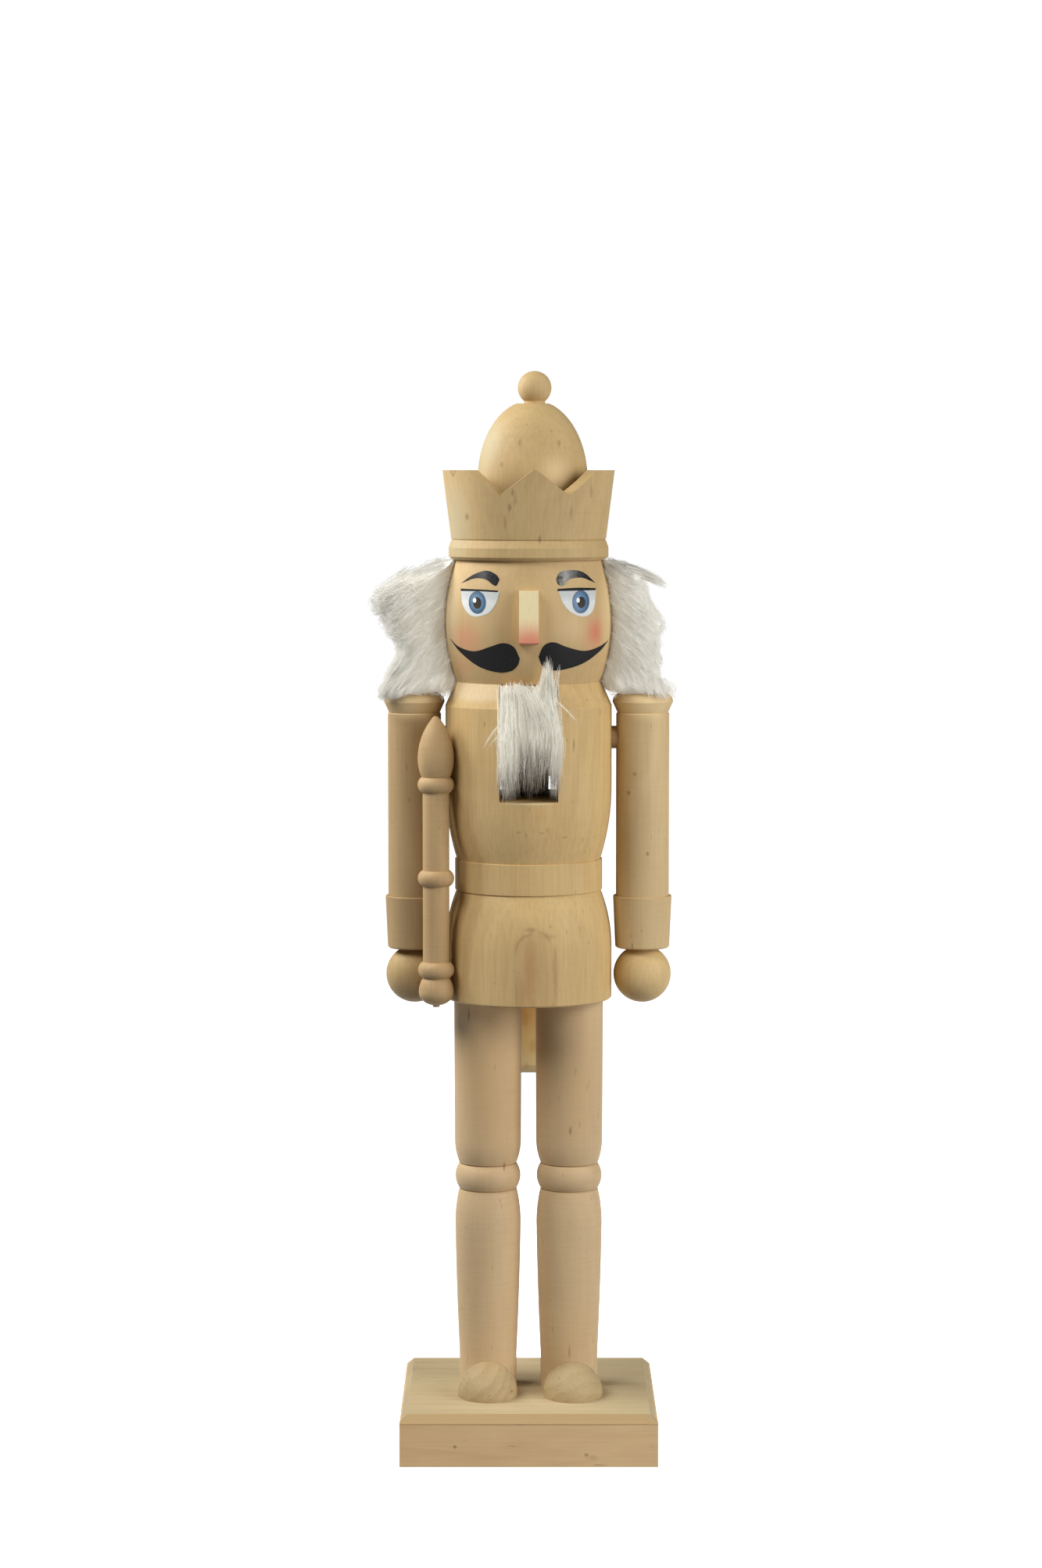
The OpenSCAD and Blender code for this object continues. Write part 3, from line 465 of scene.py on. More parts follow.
# painted light on the tops of the arms' caps, under the hair
capPaintedLight = dict(size=(15.0, 14.0, 7.5), depth=0.75, colour=(0.97, 0.74, 0.40), core=0.0)
armFlecksAndCapLight = (
    dict(capPaintedLight, at=(40.4, -9.0, 263.5)),
    *flecks((0.8, 6.0, 1.2), 0.7, (35.3, -8.0, 232.1), (42.0, -9.3, 210.6), (37.3, -8.6, 238.7)),
)
rightArmFlecksAndCapLight = (
    dict(capPaintedLight, at=(-40.4, -9.0, 263.5)),
    *flecks((0.8, 6.0, 1.2), 0.6, (-42.2, -9.2, 229.6)),
)
sceptreMarks = flecks(
    (0.8, 6.0, 6.0), 0.5, (-28.6, -28.0, 217.8), (-34.5, -26.0, 165.1), (-29.2, -28.0, 189.0))
noseMarks = (mark((0.8, -36.0, 284.0), (14.0, 14.0, 11.5), 0.8, rosy),)
steelLook = dict(detail=3.0, vary=0.2, roughSpread=0.12, shine=0.5, bump=0.2)
# what is different in the wood of each slot
woods = dict(
    base=dict(
        light=(0.84, 0.59, 0.305), dark=(0.57, 0.34, 0.156), grainTurn=alongX,
        pith=(-40.0, 55.0), latheDepth=0.0, ringGap=4.5, spots=baseKnotsAndShade,
        # painted shade: the top face and bevel made darker than the sides
        zone=dict(axis="Z", fade=(15.4, 16.4), tone=(0.705, 0.81, 0.905))),
    leg=dict(
        light=(0.665, 0.485, 0.272), dark=(0.465, 0.302, 0.156), latheDepth=0.13,
        fibreDepth=0.06, pith=(30.0, 40.0), ringDepth=0.1, spots=legMarksAndLight),
    foot=dict(
        light=(0.505, 0.385, 0.209), dark=(0.34, 0.223, 0.092), grainTurn=alongY,
        pith=(30.0, 20.0), ringDepth=0.3, ringGap=4.0,
        spots=flecks((0.8, 4.0, 0.8), 0.9, (24.1, -24.0, 23.4), (-6.1, -20.0, 20.9))),
    body=dict(
        light=(0.685, 0.485, 0.217), dark=(0.45, 0.276, 0.102), pith=(-14.4, 200.0),
        fibreDepth=0.24, heart=torsoHeart, spots=torsoMarksAndHighlights),
    arm=dict(
        light=(0.685, 0.508, 0.262), dark=(0.447, 0.28, 0.128), pith=(20.0, 60.0),
        fibreDepth=0.15, spots=armFlecksAndCapLight),
    hand=dict(
        light=(0.73, 0.53, 0.246), dark=(0.49, 0.30, 0.121), pith=(0.0, 30.0)),
    sceptre=dict(
        light=(0.515, 0.352, 0.172), dark=(0.36, 0.216, 0.086), latheDepth=0.12,
        fibreDepth=0.12, spots=sceptreMarks),
    lever=dict(
        light=(1.0, 0.74, 0.30), dark=(1.0, 0.66, 0.24), latheDepth=0.0,
        # painted shade on the part of the lever inside the slot
        spots=leverMarksAndShading, zone=dict(axis="Y", fade=(30.5, 28.5), tone=(0.16, 0.15, 0.15))),
    crown=dict(
        light=(0.565, 0.405, 0.188), dark=(0.37, 0.23, 0.09), pith=(2.0, 50.0),
        ringDepth=0.1, spots=crownFlecksAndLight),
    face=dict(
        light=(0.585, 0.412, 0.197), dark=(0.44, 0.29, 0.127), ringDepth=0.1,
        fleckDepth=0.1, latheDepth=0.05, spots=cheeksAndFaceLight),
    nose=dict(
        light=(0.86, 0.735, 0.44), dark=(0.70, 0.56, 0.30), ringDepth=0.2,
        spots=noseMarks),
    dowel=dict(light=(0.52, 0.36, 0.18)),
)
finishes = {slot + "_wood": woodMaterial(slot + "Wood", **look) for slot, look in woods.items()}
finishes["pin_steel"] = steelMaterial(
    "pinSteel", colour=(0.55, 0.55, 0.56), rough=0.3, grain=2.0, **steelLook)
finishes["screw_steel"] = steelMaterial(
    "screwZinc", colour=(0.62, 0.60, 0.52), rough=0.35, grain=3.0, **steelLook)
# the sceptre arm and hand get a darker wood than the other arm, and the jaw gets painted shade low
# in the slot
ownFinish = dict(
    right_arm=woodMaterial(
        "rightArmWood", light=(0.445, 0.308, 0.145), dark=(0.29, 0.172, 0.07), pith=(20.0, 60.0),
        fibreDepth=0.15, spots=rightArmFlecksAndCapLight),
    right_hand=woodMaterial(
        "rightHandWood", light=(0.495, 0.348, 0.155), dark=(0.333, 0.198, 0.076), pith=(0.0, 30.0)),
    jaw_block=woodMaterial(
        "jawWood", light=(0.7, 0.5, 0.24), dark=(0.5, 0.3, 0.12), latheDepth=0.0,
        zone=dict(axis="Z", fade=(256.0, 250.0), tone=(0.14, 0.13, 0.13))),
)
slotOf = {row["node"]: row["material_slot"] for row in frame["record"]["subparts"]}
print("materials ready:", len(finishes))


# turned pieces: a merged copy with even shading stands for each CAD node
turned = dict(
    pieces=("base_block", "right_leg", "left_leg", "right_foot", "left_foot", "torso", "head",
            "nose", "crown", "dome", "right_arm", "left_arm", "sceptre", "jaw_lever", "jaw_block"),
    mergeGap=0.002, creaseAngle=14.0,
)


def finishOf(nodeName):
    return ownFinish.get(nodeName) or finishes[slotOf[nodeName]]


def freeCopy(nodeName, name, cuts=0):
    # a merged copy that no longer counts as the CAD node
    copy = nodes[nodeName].copy()
    copy.data = nodes[nodeName].data.copy()
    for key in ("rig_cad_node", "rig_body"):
        del copy[key]
    copy.parent = None
    copy.name = name
    bpy.context.scene.collection.objects.link(copy)
    editAll(copy)
    bpy.ops.mesh.remove_doubles(threshold=turned["mergeGap"] * mm)
    if cuts:
        bpy.ops.mesh.subdivide(number_cuts=cuts)
    bpy.ops.mesh.customdata_custom_splitnormals_clear()
    objectMode()
    return copy


def softenNode(nodeName):
    copy = freeCopy(nodeName, nodeName.title().replace("_", "") + "Smooth")
    selectOnly(copy)
    bpy.ops.object.shade_smooth_by_angle(angle=math.radians(turned["creaseAngle"]))
    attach(copy, nodes[nodeName]["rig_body"])
    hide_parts(nodeName)
    setMaterial(copy, finishOf(nodeName))


for nodeName, node in nodes.items():
    if nodeName in turned["pieces"]:
        softenNode(nodeName)
    elif slotOf[nodeName] in finishes:
        setMaterial(node, finishOf(nodeName))
print("wood and steel dressed")


# the head's barrel, which the paint and the hair lie on
headLow, headHigh = (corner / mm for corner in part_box("head"))
halfHead = (headHigh.z - headLow.z) / 2
barrel = dict(middle=headLow.z + halfHead, belly=(headHigh.x - headLow.x) / 2, sag=4.0)
barrel["bow"] = (halfHead ** 2 + barrel["sag"] ** 2) / (2 * barrel["sag"])


def barrelRadius(z):
    bow, up = barrel["bow"], z - barrel["middle"]
    return barrel["belly"] - bow + math.sqrt(bow ** 2 - up ** 2)


def onBarrel(x, z, lift):
    radius = barrelRadius(z)
    angle = math.asin(max(-1.0, min(1.0, x / radius)))
    return Vector(((radius + lift) * math.sin(angle), -(radius + lift) * math.cos(angle), z)) * mm


def smoothLine(points, count):
    # Catmull-Rom through a few points, sampled at equal parts of their length
    pts = [Vector(p) for p in points]
    ends = [pts[0] * 2 - pts[1], *pts, pts[-1] * 2 - pts[-2]]
    steps = [0.0]
    for a, b in zip(pts, pts[1:]):
        steps.append(steps[-1] + (b - a).length)
    tiny = 1e-9
    line = []
    for i in range(count):
        want = steps[-1] * i / (count - 1)
        k = max(j for j in range(len(pts) - 1) if steps[j] <= want + tiny)
        t = (want - steps[k]) / (steps[k + 1] - steps[k])
        p0, p1, p2, p3 = ends[k:k + 4]
        line.append(0.5 * (2 * p1 + (p2 - p0) * t + (2 * p0 - 5 * p1 + 4 * p2 - p3) * t ** 2
                           + (3 * p1 - p0 - 3 * p2 + p3) * t ** 3))
    return line


# painted face: thin films of paint on the barrel, each between an upper and a lower edge
paint = dict(
    film=0.25, columns=56, rows=10, mergeGap=0.005, creaseAngle=40.0, ovalPoints=17,
    lift=dict(white=0.08, brow=0.10, moustache=0.10, iris=0.12, pupil=0.15, lid=0.16, glint=0.18),
)
brush = dict(
    scale=grey(0.9), detail=4.0, sway=0.35, rough=0.45, roughSpread=0.15, shine=0.1, bump=0.15,
)
irisLook = dict(detail=3.0, sway=0.3, blueAt=0.3, innerAt=0.9, rough=0.4, through=1e6)


def paintPatch(name, upper, lower, coat, material):
    bpy.ops.object.select_all(action="DESELECT")
    columns, rows = paint["columns"], paint["rows"]
    bpy.ops.mesh.primitive_grid_add(x_subdivisions=columns, y_subdivisions=rows, size=1.0)
    obj = bpy.context.object
    obj.name = name
    top = smoothLine(upper, columns + 1)
    low = smoothLine(lower, columns + 1)
    for vertex in obj.data.vertices:
        i = round((vertex.co.x + 0.5) * columns)
        x, z = low[i].lerp(top[i], vertex.co.y + 0.5)
        vertex.co = onBarrel(x, z, paint["lift"][coat])
    editAll(obj)
    bpy.ops.mesh.remove_doubles(threshold=paint["mergeGap"] * mm)
    bpy.ops.mesh.normals_make_consistent(inside=False)
    objectMode()
    if sum(face.normal.y * face.area for face in obj.data.polygons) > 0:
        # the face looks towards -y
        editAll(obj)
        bpy.ops.mesh.flip_normals()
        objectMode()
    selectOnly(obj)
    modifier = obj.modifiers.new("film", "SOLIDIFY")
    modifier.thickness, modifier.offset = paint["film"] * mm, -1.0
    bpy.ops.object.modifier_apply(modifier=modifier.name)
    bpy.ops.object.shade_smooth_by_angle(angle=math.radians(paint["creaseAngle"]))
    setMaterial(obj, material)
    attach(obj, "figure")


def ovalEdges(centre, half):
    last = paint["ovalPoints"] - 1
    angles = [math.pi * (1 - i / last) for i in range(last + 1)]
    return [[(centre[0] + half[0] * math.cos(a), centre[1] + up * half[1] * math.sin(a))
             for a in angles] for up in (1, -1)]


def paintMaterial(name, stops, axis, low, high):
    # colour bands along one axis, with the faint unevenness of brushed paint
    material, shader, place = startMaterial(name)
    strokes = cloud(place, brush["scale"], brush["detail"])
    where = ease(axes(place)[axis], low, high)
    shift = calc("SUBTRACT", strokes, 0.5)
    colour = ramp(calc("MULTIPLY_ADD", shift, brush["sway"], where), stops)
    finishSurface(shader, colour, strokes, strokes, brush)
    return material


def irisMaterial(name, eye):
    material, shader, place = startMaterial(name)
    (x, z), (halfWidth, halfHeight) = eye["iris"]
    size = (halfWidth, irisLook["through"], halfHeight)
    disc = dict(at=(x, 0.0, z), size=size, depth=1.0, core=0.0)
    streak = wobble(place, brush["scale"], irisLook["detail"])
    level = calc("MULTIPLY_ADD", streak, irisLook["sway"], markAmount(place, disc))
    rim, blue, inner = eye["blues"]
    stops = ((0.0, rim), (irisLook["blueAt"], blue), (irisLook["innerAt"], inner))
    plug(shader, {"Base Color": ramp(level, stops), "Roughness": irisLook["rough"]})
    return material


# upper and lower edge as (x, z), ovals as centre and half size; the viewer's left and right
black = grey(0.007)
brows = dict(
    left=dict(
        edges=(
            ((-23.4, 306.1), (-19.4, 309.0), (-14.8, 310.6), (-11.4, 309.4), (-10.1, 307.6)),
            ((-23.4, 306.1), (-18.8, 307.9), (-15.0, 307.6), (-12.4, 305.8), (-11.2, 305.6),
             (-10.1, 307.6))),
        bands=((0.0, black), (0.25, grey(0.02)), (0.6, (0.085, 0.085, 0.088)), (0.8, grey(0.03)),
               (1.0, black)),
        span=(-23.4, -10.0)),
    right=dict(
        edges=(
            ((9.4, 307.7), (10.9, 310.2), (14.8, 310.8), (19.0, 309.9), (23.2, 306.2)),
            ((9.4, 307.7), (10.2, 305.9), (11.9, 305.5), (14.1, 307.6), (18.4, 308.1),
             (23.2, 306.2))),
        bands=((0.0, (0.06, 0.06, 0.055)), (0.12, (0.36, 0.35, 0.32)), (0.3, (0.19, 0.19, 0.18)),
               (0.65, grey(0.04)), (1.0, black)),
        span=(9.4, 23.2)),
)
eyes = dict(
    left=dict(
        lid=(((-23.6, 304.2), (-17.0, 304.1), (-10.7, 303.8)),
             ((-23.6, 303.4), (-17.0, 303.5), (-10.7, 303.3))),
        white=(((-23.6, 303.5), (-17.0, 303.6), (-10.1, 303.5)),
               ((-23.6, 303.5), (-22.9, 298.6), (-20.6, 295.4), (-17.6, 294.7),
                (-13.6, 296.3), (-11.2, 299.8), (-10.1, 303.5))),
        iris=((-17.8, 299.6), (3.0, 3.9)), pupil=((-17.8, 299.4), (1.4, 2.0)),
        glint=((-18.7, 300.3), (0.6, 0.85)),
        blues=((0.035, 0.085, 0.16), (0.08, 0.185, 0.31), (0.13, 0.26, 0.38))),
    right=dict(
        lid=(((10.0, 304.4), (16.5, 304.7), (23.2, 304.4)),
             ((10.0, 303.7), (16.5, 303.7), (23.2, 303.7))),
        white=(((10.2, 303.7), (16.5, 303.8), (23.4, 303.6)),
               ((10.2, 303.7), (11.7, 299.8), (14.2, 296.6), (18.0, 294.8),
                (21.2, 295.4), (22.8, 298.3), (23.4, 303.6))),
        iris=((18.0, 299.8), (3.0, 4.0)), pupil=((18.2, 299.6), (1.4, 2.0)),
        glint=((17.0, 300.4), (0.6, 0.85)),
        blues=((0.018, 0.065, 0.16), (0.035, 0.145, 0.31), (0.10, 0.24, 0.40))),
)
moustache = dict(
    left=(
        ((-27.5, 286.4), (-24.2, 283.8), (-18.8, 282.6), (-13.0, 284.5), (-8.8, 285.7),
         (-5.2, 284.4), (-3.1, 280.4)),
        ((-27.5, 286.4), (-23.6, 281.8), (-17.4, 277.3), (-10.6, 275.4), (-6.0, 276.0),
         (-3.8, 278.0), (-3.1, 280.4))),
    right=(
        ((27.9, 285.8), (24.6, 283.9), (19.4, 282.7), (13.4, 284.2), (8.6, 286.0),
         (5.2, 284.8), (3.4, 281.0)),
        ((27.9, 285.8), (24.6, 282.1), (18.6, 278.2), (11.2, 276.2), (7.0, 276.4),
         (4.6, 278.1), (3.4, 281.0))),
)
# each paint: its colour stops and the heights that they run between
eyeWhite = (0.72, 0.74, 0.72)
paints = dict(
    black=(((0.0, (0.008, 0.0085, 0.009)), (1.0, grey(0.012))), 274, 286),
    lid=(((0.0, (0.03, 0.026, 0.022)), (1.0, black)), 302, 304),
    white=(((0.0, eyeWhite), (0.7, eyeWhite), (1.0, (0.56, 0.58, 0.57))), 294, 303),
    pupil=(((0.0, (0.06, 0.045, 0.03)), (1.0, (0.035, 0.028, 0.022))), 297, 301),
    glint=(((0.0, grey(0.85)), (1.0, grey(0.9))), 298, 301),
)
coats = {name: paintMaterial(name + "Paint", stops, "Z", low, high)
         for name, (stops, low, high) in paints.items()}
for side in ("left", "right"):
    brow, eye = brows[side], eyes[side]
    browPaint = paintMaterial(side + "BrowPaint", brow["bands"], "X", *brow["span"])
    coats["iris"] = irisMaterial(side + "IrisPaint", eye)
    paintPatch(side + "Brow", *brow["edges"], "brow", browPaint)
    paintPatch(side + "EyeWhite", *eye["white"], "white", coats["white"])
    for coat in ("iris", "pupil", "glint"):
        paintPatch(side + coat.title(), *ovalEdges(*eye[coat]), coat, coats[coat])
    paintPatch(side + "Lid", *eye["lid"], "lid", coats["lid"])
    paintPatch(side + "Moustache", *moustache[side], "moustache", coats["black"])
print("face painted")


# fur: tapered strands in clumps, combed over a soft inner coat
fur = dict(
    radius=0.075, tipShare=0.2, points=5, bendRoot=0.7, bendTip=0.5, length=(0.75, 1.05),
    coatCuts=4, coatSoft=0.5, coatRounds=4,
)
furLook = dict(
    colour=(0.985, 0.97, 0.91), shade=(0.88, 0.855, 0.775), rough=0.65, shine=0.2,
    tuft=(0.22, 0.22, 0.1), tuftBand=(0.35, 0.7), tuftDepth=0.6,
    pile=(3.0, 3.0, 0.3), pileBand=(0.4, 0.75), streak=(1.1, 1.1, 0.03), detail=3.0,
    # painted shade: darker along the outline, on the figure's left side, and close under the crown
    thinWidth=7.0, thin={-1: 0.84, 1: 1.0}, leftFade=(26.0, 38.0), leftDull=0.9,
    topFade=(307.0, 312.0), topDull=0.74,
    glowRight=(-34.0, -52.0), glowLeft=(32.0, 46.0),
)


def toEdge(across, height, edge):
    # how far a point lies inside the outline of the hair, level by level
    reach, low = 60.0, edge[-1][1]
    span = edge[0][1] - low
    stops = [((z - low) / span, grey(abs(x) / reach)) for x, z in reversed(edge)]
    level = calc("DIVIDE", calc("SUBTRACT", height, low), span)
    outline = times(ramp(level, stops), reach)
    return calc("SUBTRACT", outline, calc("ABSOLUTE", across))


def hairPaintedShade(parts, edges):
    # painted shade: the pile is made darker towards its outline, on the figure's left and under the
    # crown
    thin = {}
    for sign, shadeLevel in furLook["thin"].items():
        inside = toEdge(parts["X"], parts["Z"], edges[sign])
        thin[sign] = ease(inside, 0.0, furLook["thinWidth"], shadeLevel, 1.0)
    ins = {0: calc("GREATER_THAN", parts["X"], 0.0), 2: thin[-1], 3: thin[1]}
    dim = addNode("ShaderNodeMix", ins, data_type="FLOAT").outputs[0]
    left = ease(parts["X"], *furLook["leftFade"], 1.0, furLook["leftDull"])
    top = ease(parts["Z"], *furLook["topFade"], 1.0, furLook["topDull"])
    return times(times(dim, left), top)


def paintedEndShade(place, parts, ends):
    # painted shade on the sparse ends that hang before the dark slot, streak by streak
    streak = wobble(place, furLook["streak"], furLook["detail"])
    fromMiddle = calc("ABSOLUTE", calc("SUBTRACT", parts["X"], ends["middle"]))
    fall = calc("MULTIPLY_ADD", streak, ends["uneven"], parts["Z"])
    higher = ease(fromMiddle, *ends["middleFade"], ends["higher"], 0.0)
    return ease(calc("SUBTRACT", fall, higher), *ends["fade"], ends["depth"], 0.0)


def furMaterial(name, glow, tone=(1.0, 1.0, 1.0), edges=None, ends=None, streaks=0.4, deep=1.0):
    material, shader, place = startMaterial(name)
    tuft = cloud(place, furLook["tuft"], furLook["detail"])
    tuftPart = ease(tuft, *furLook["tuftBand"], 0.0, furLook["tuftDepth"])
    pilePart = ease(cloud(place, furLook["pile"]), *furLook["pileBand"], 0.0, streaks)
    light = rgba([c * t for c, t in zip(furLook["colour"], tone)])
    shade = [c * t * deep for c, t in zip(furLook["shade"], tone)]
    colour = tint(calc("ADD", tuftPart, pilePart), light, shade)
    parts = axes(place)
    if edges:
        ins = {0: colour, 3: hairPaintedShade(parts, edges)}
        colour = addNode("ShaderNodeVectorMath", ins, operation="SCALE").outputs[0]
    if ends:
        colour = tint(paintedEndShade(place, parts, ends), colour, ends["colour"])
    # painted glow: emission that stands in for light the pile scatters, in the middle, at the
    # figure's right and at its left
    middle, right, left = glow
    toRight = ease(parts["X"], *furLook["glowRight"], 0.0, right - middle)
    toLeft = ease(parts["X"], *furLook["glowLeft"], middle, left)
    plug(shader, {
        "Base Color": colour, "Roughness": furLook["rough"], "Specular IOR Level": furLook["shine"],
        "Emission Color": colour, "Emission Strength": calc("ADD", toRight, toLeft),
    })
    return material


def clump(rng, root, bend, tip, count, rootSpread, tipSpread):
    strands = []
    for _ in range(count):
        jitter = Vector([rng.gauss(0, 1) for _ in range(3)])
        wander = Vector([rng.gauss(0, 1) for _ in range(3)])
        a = root + jitter * rootSpread
        b = bend + jitter * rootSpread * fur["bendRoot"] + wander * tipSpread * fur["bendTip"]
        c = tip + wander * tipSpread
        reach = rng.uniform(*fur["length"])
        line = []
        for i in range(fur["points"]):
            t = reach * i / (fur["points"] - 1)
            line.append(a * (1 - t) ** 2 + b * 2 * t * (1 - t) + c * t ** 2)
        strands.append(line)
    return strands


def grow(guides, look, rng, *rest):
    # a clump of hairs along each guide that a function gives
    strands = []
    for root, bend, tip in guides(look, rng, *rest):
        strands += clump(rng, root, bend, tip, *look["clump"])
    return strands


def strandPiece(name, strands, body, material, fine=1.0):
    curve = bpy.data.curves.new(name, "CURVE")
    curve.dimensions = "3D"
    curve.bevel_depth = fur["radius"] * fine * mm
    curve.bevel_resolution = 0
    curve.use_fill_caps = True
    for line in strands:
        spline = curve.splines.new("POLY")
        spline.points.add(len(line) - 1)
        for i, p in enumerate(line):
            spline.points[i].co = (*(p * mm), 1.0)
            spline.points[i].radius = 1.0 - (1.0 - fur["tipShare"]) * (i / (len(line) - 1)) ** 2
    obj = newObject(name, curve)
    selectOnly(obj)
    bpy.ops.object.convert(target="MESH")
    bpy.ops.object.shade_smooth()
    setMaterial(obj, material)
    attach(obj, body)
    print(name, "strands:", len(strands))
    return obj


def coatPiece(name, nodeName, body, shape, material):
    # the CAD fur solid, drawn in under the pile and rounded
    copy = freeCopy(nodeName, name, fur["coatCuts"])
    for vertex in copy.data.vertices:
        vertex.co = shape(vertex.co / mm) * mm
    editAll(copy)
    bpy.ops.mesh.vertices_smooth(factor=fur["coatSoft"], repeat=fur["coatRounds"])
    objectMode()
    selectOnly(copy)
    bpy.ops.object.shade_smooth()
    setMaterial(copy, material)
    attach(copy, body)
    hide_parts(nodeName)
    return copy


def rootsOn(obj, count, rng, accept):
    # an even scatter of roots over the faces that accept() lets in
    obj.data.calc_loop_triangles()
    faces, areas = [], []
    for triangle in obj.data.loop_triangles:
        corners = [obj.data.vertices[i].co / mm for i in triangle.vertices]
        if accept((corners[0] + corners[1] + corners[2]) / 3, triangle.normal):
            faces.append((corners, triangle.normal.copy()))
            areas.append(triangle.area)
    roots = []
    for corners, normal in rng.choices(faces, areas, k=count):
        a, b = sorted((rng.random(), rng.random()))
        roots.append((corners[0] * a + corners[1] * (b - a) + corners[2] * (1 - b), normal))
    return roots


# hair: a strip of fur round the sides and the back of the head, side -1 is the figure's right
hairLow, hairHigh = (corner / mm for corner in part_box("hair"))
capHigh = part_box("right_arm")[1] / mm
capAt = (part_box("right_arm")[0].x / mm + capHigh.x) / 2
hair = dict(
    seed=11, clumps=540, frontClumps=432, frontAngle=105.0, frontFacing=-0.4, sideAngle=128.0,
    skin=1.0, slopeTop=25.0, slopeGain=30.0, top=311.0, capRadius=11.4, capClear=0.6,
    # painted glow of the fur: in the middle, at the figure's right and at its left
    glow=(0.105, 0.035, 0.125),
    # outline of each side as (x, z), from the top down
    edges={
        -1: ((-27.4, 313.8), (-36.2, 310.2), (-45.9, 306.6), (-54.1, 302.5), (-55.3, 300.6),
             (-54.7, 298.3), (-51.2, 293.0), (-50.0, 289.5), (-46.2, 285.1), (-44.8, 282.6),
             (-46.5, 279.6), (-48.7, 274.0), (-51.8, 269.6), (-53.2, 267.0), (-53.0, 265.2)),
        1: ((27.8, 313.8), (34.1, 312.7), (38.5, 310.0), (40.3, 307.5), (39.4, 304.6),
            (41.6, 299.4), (44.7, 294.5), (48.2, 291.7), (46.0, 288.8), (45.2, 282.3),
            (46.9, 278.2), (44.4, 275.5), (46.1, 269.1), (50.4, 265.5)),
    },
    # lower edge as (z, x), from the outside in
    hem=((265.0, 54.0), (265.5, 43.5), (268.0, 37.0), (268.0, 31.0), (264.0, 28.8), (270.0, 26.0)),
    coat=dict(
        margin=0.8, bare=2.3, least=1.2, behind=17.0, backFrom=95.0, backSpan=25.0,
        bulge=3.0, bulgeSpan=20.0, nearFrom=80.0, nearSpan=12.0,
        topDrop=1.6, dropFrom=304.0, dropSpan=9.0,
        # thickness of the CAD pile and the height it is at
        pile=((2.4, 314.0), (13.0, 308.0), (19.5, 302.0), (15.0, 285.0), (19.5, 267.0)),
    ),
    # each clump is its number of hairs and their spread at the root and at the tip
    comb=dict(
        slopeVary=7.0, lie=0.7, length=(7.0, 13.0), inside=(0.93, 1.0), shortest=0.2,
        lift=1.2, rise=0.8, sink=0.4, clump=(9, 0.9, 0.6)),
    wisps=dict(
        count=100, low=2.0, high=1.0, reach=(0.97, 1.03), depth=(-6.0, 8.0), length=(11.0, 16.0),
        forward=-0.6, rise=1.2, clump=(8, 0.9, 0.5)),
    fringe=dict(
        count=45, x=(29.0, 52.0), vary=0.5, inward=1.5, rootDepth=(-8.5, -5.0), rootUp=5.0,
        bendDepth=-11.6, bendUp=2.5, tipDepth=(-12.2, -11.2), clump=(7, 0.8, 0.4)),
    hairline=dict(
        count=34, z=(273.0, 311.0), lift=0.3, depth=(-4.5, -1.0), out=(4.0, 7.0),
        forward=(-4.0, -2.0), down=(-4.0, -1.0), bend=(0.0, -1.5, 0.8), clump=(8, 0.5, 0.5)),
    spike=dict(
        count=26, lift=(-1.3, 1.0), depth=(-5.0, 3.0), shorter=1.2, clump=(9, 0.6, 0.3),
        line=((33.5, 311.0), (42.5, 309.2), (48.6, 305.2))),
)


def edgeAt(edge, z):
    for (xa, za), (xb, zb) in zip(edge, edge[1:]):
        if zb <= z <= za:
            return xa + (xb - xa) * (za - z) / (za - zb)
    return edge[0][0] if z > edge[0][1] else edge[-1][0]


def fromFront(p):
    return abs(math.degrees(math.atan2(p.x, -p.y)))


def shareOf(value, start, span):
    return min(1.0, max(0.0, (value - start) / span))


def downShare(z):
    return (hairHigh.z - z) / (hairHigh.z - hairLow.z)


def slopeAt(share, vary=0.0):
    return math.radians(hair["slopeTop"] + hair["slopeGain"] * share + vary)


def hairCoat(p):
    # the sides fill the photographed outline, the back keeps an even pile
    coat = hair["coat"]
    radius = barrelRadius(min(max(p.z, headLow.z), headHigh.z))
    flat = Vector((p.x, p.y, 0.0))
    pile = flat.length - radius
    if pile < coat["bare"]:
        return p
    edge = hair["edges"][-1 if p.x < 0 else 1]
    back = shareOf(fromFront(p), coat["backFrom"], coat["backSpan"])
    room = (abs(edgeAt(edge, p.z)) - coat["margin"] - radius) * (1 - back) + coat["behind"] * back
    filled = room * min(1.0, pile / edgeAt(coat["pile"], p.z))
    flat *= (radius + max(coat["least"], filled)) / flat.length
    near = max(0.0, 1.0 - (fromFront(p) - coat["nearFrom"]) / coat["nearSpan"])
    forward = near * coat["bulge"] * math.sin(math.pi * min(1.0, pile / coat["bulgeSpan"]))
    drop = coat["topDrop"] * shareOf(p.z, coat["dropFrom"], coat["dropSpan"])
    return Vector((flat.x, flat.y - forward, p.z - drop))


def offTheCap(p):
    # tips end at the hem, and those that would sink into the arm's cap lie on top of it
    p.z = max(p.z, edgeAt(hair["hem"], abs(p.x)))
    capTop = capHigh.z + hair["capClear"]
    if p.z < capTop and math.hypot(abs(p.x) - abs(capAt), p.y) < hair["capRadius"]:
        p.z = capTop
    return p


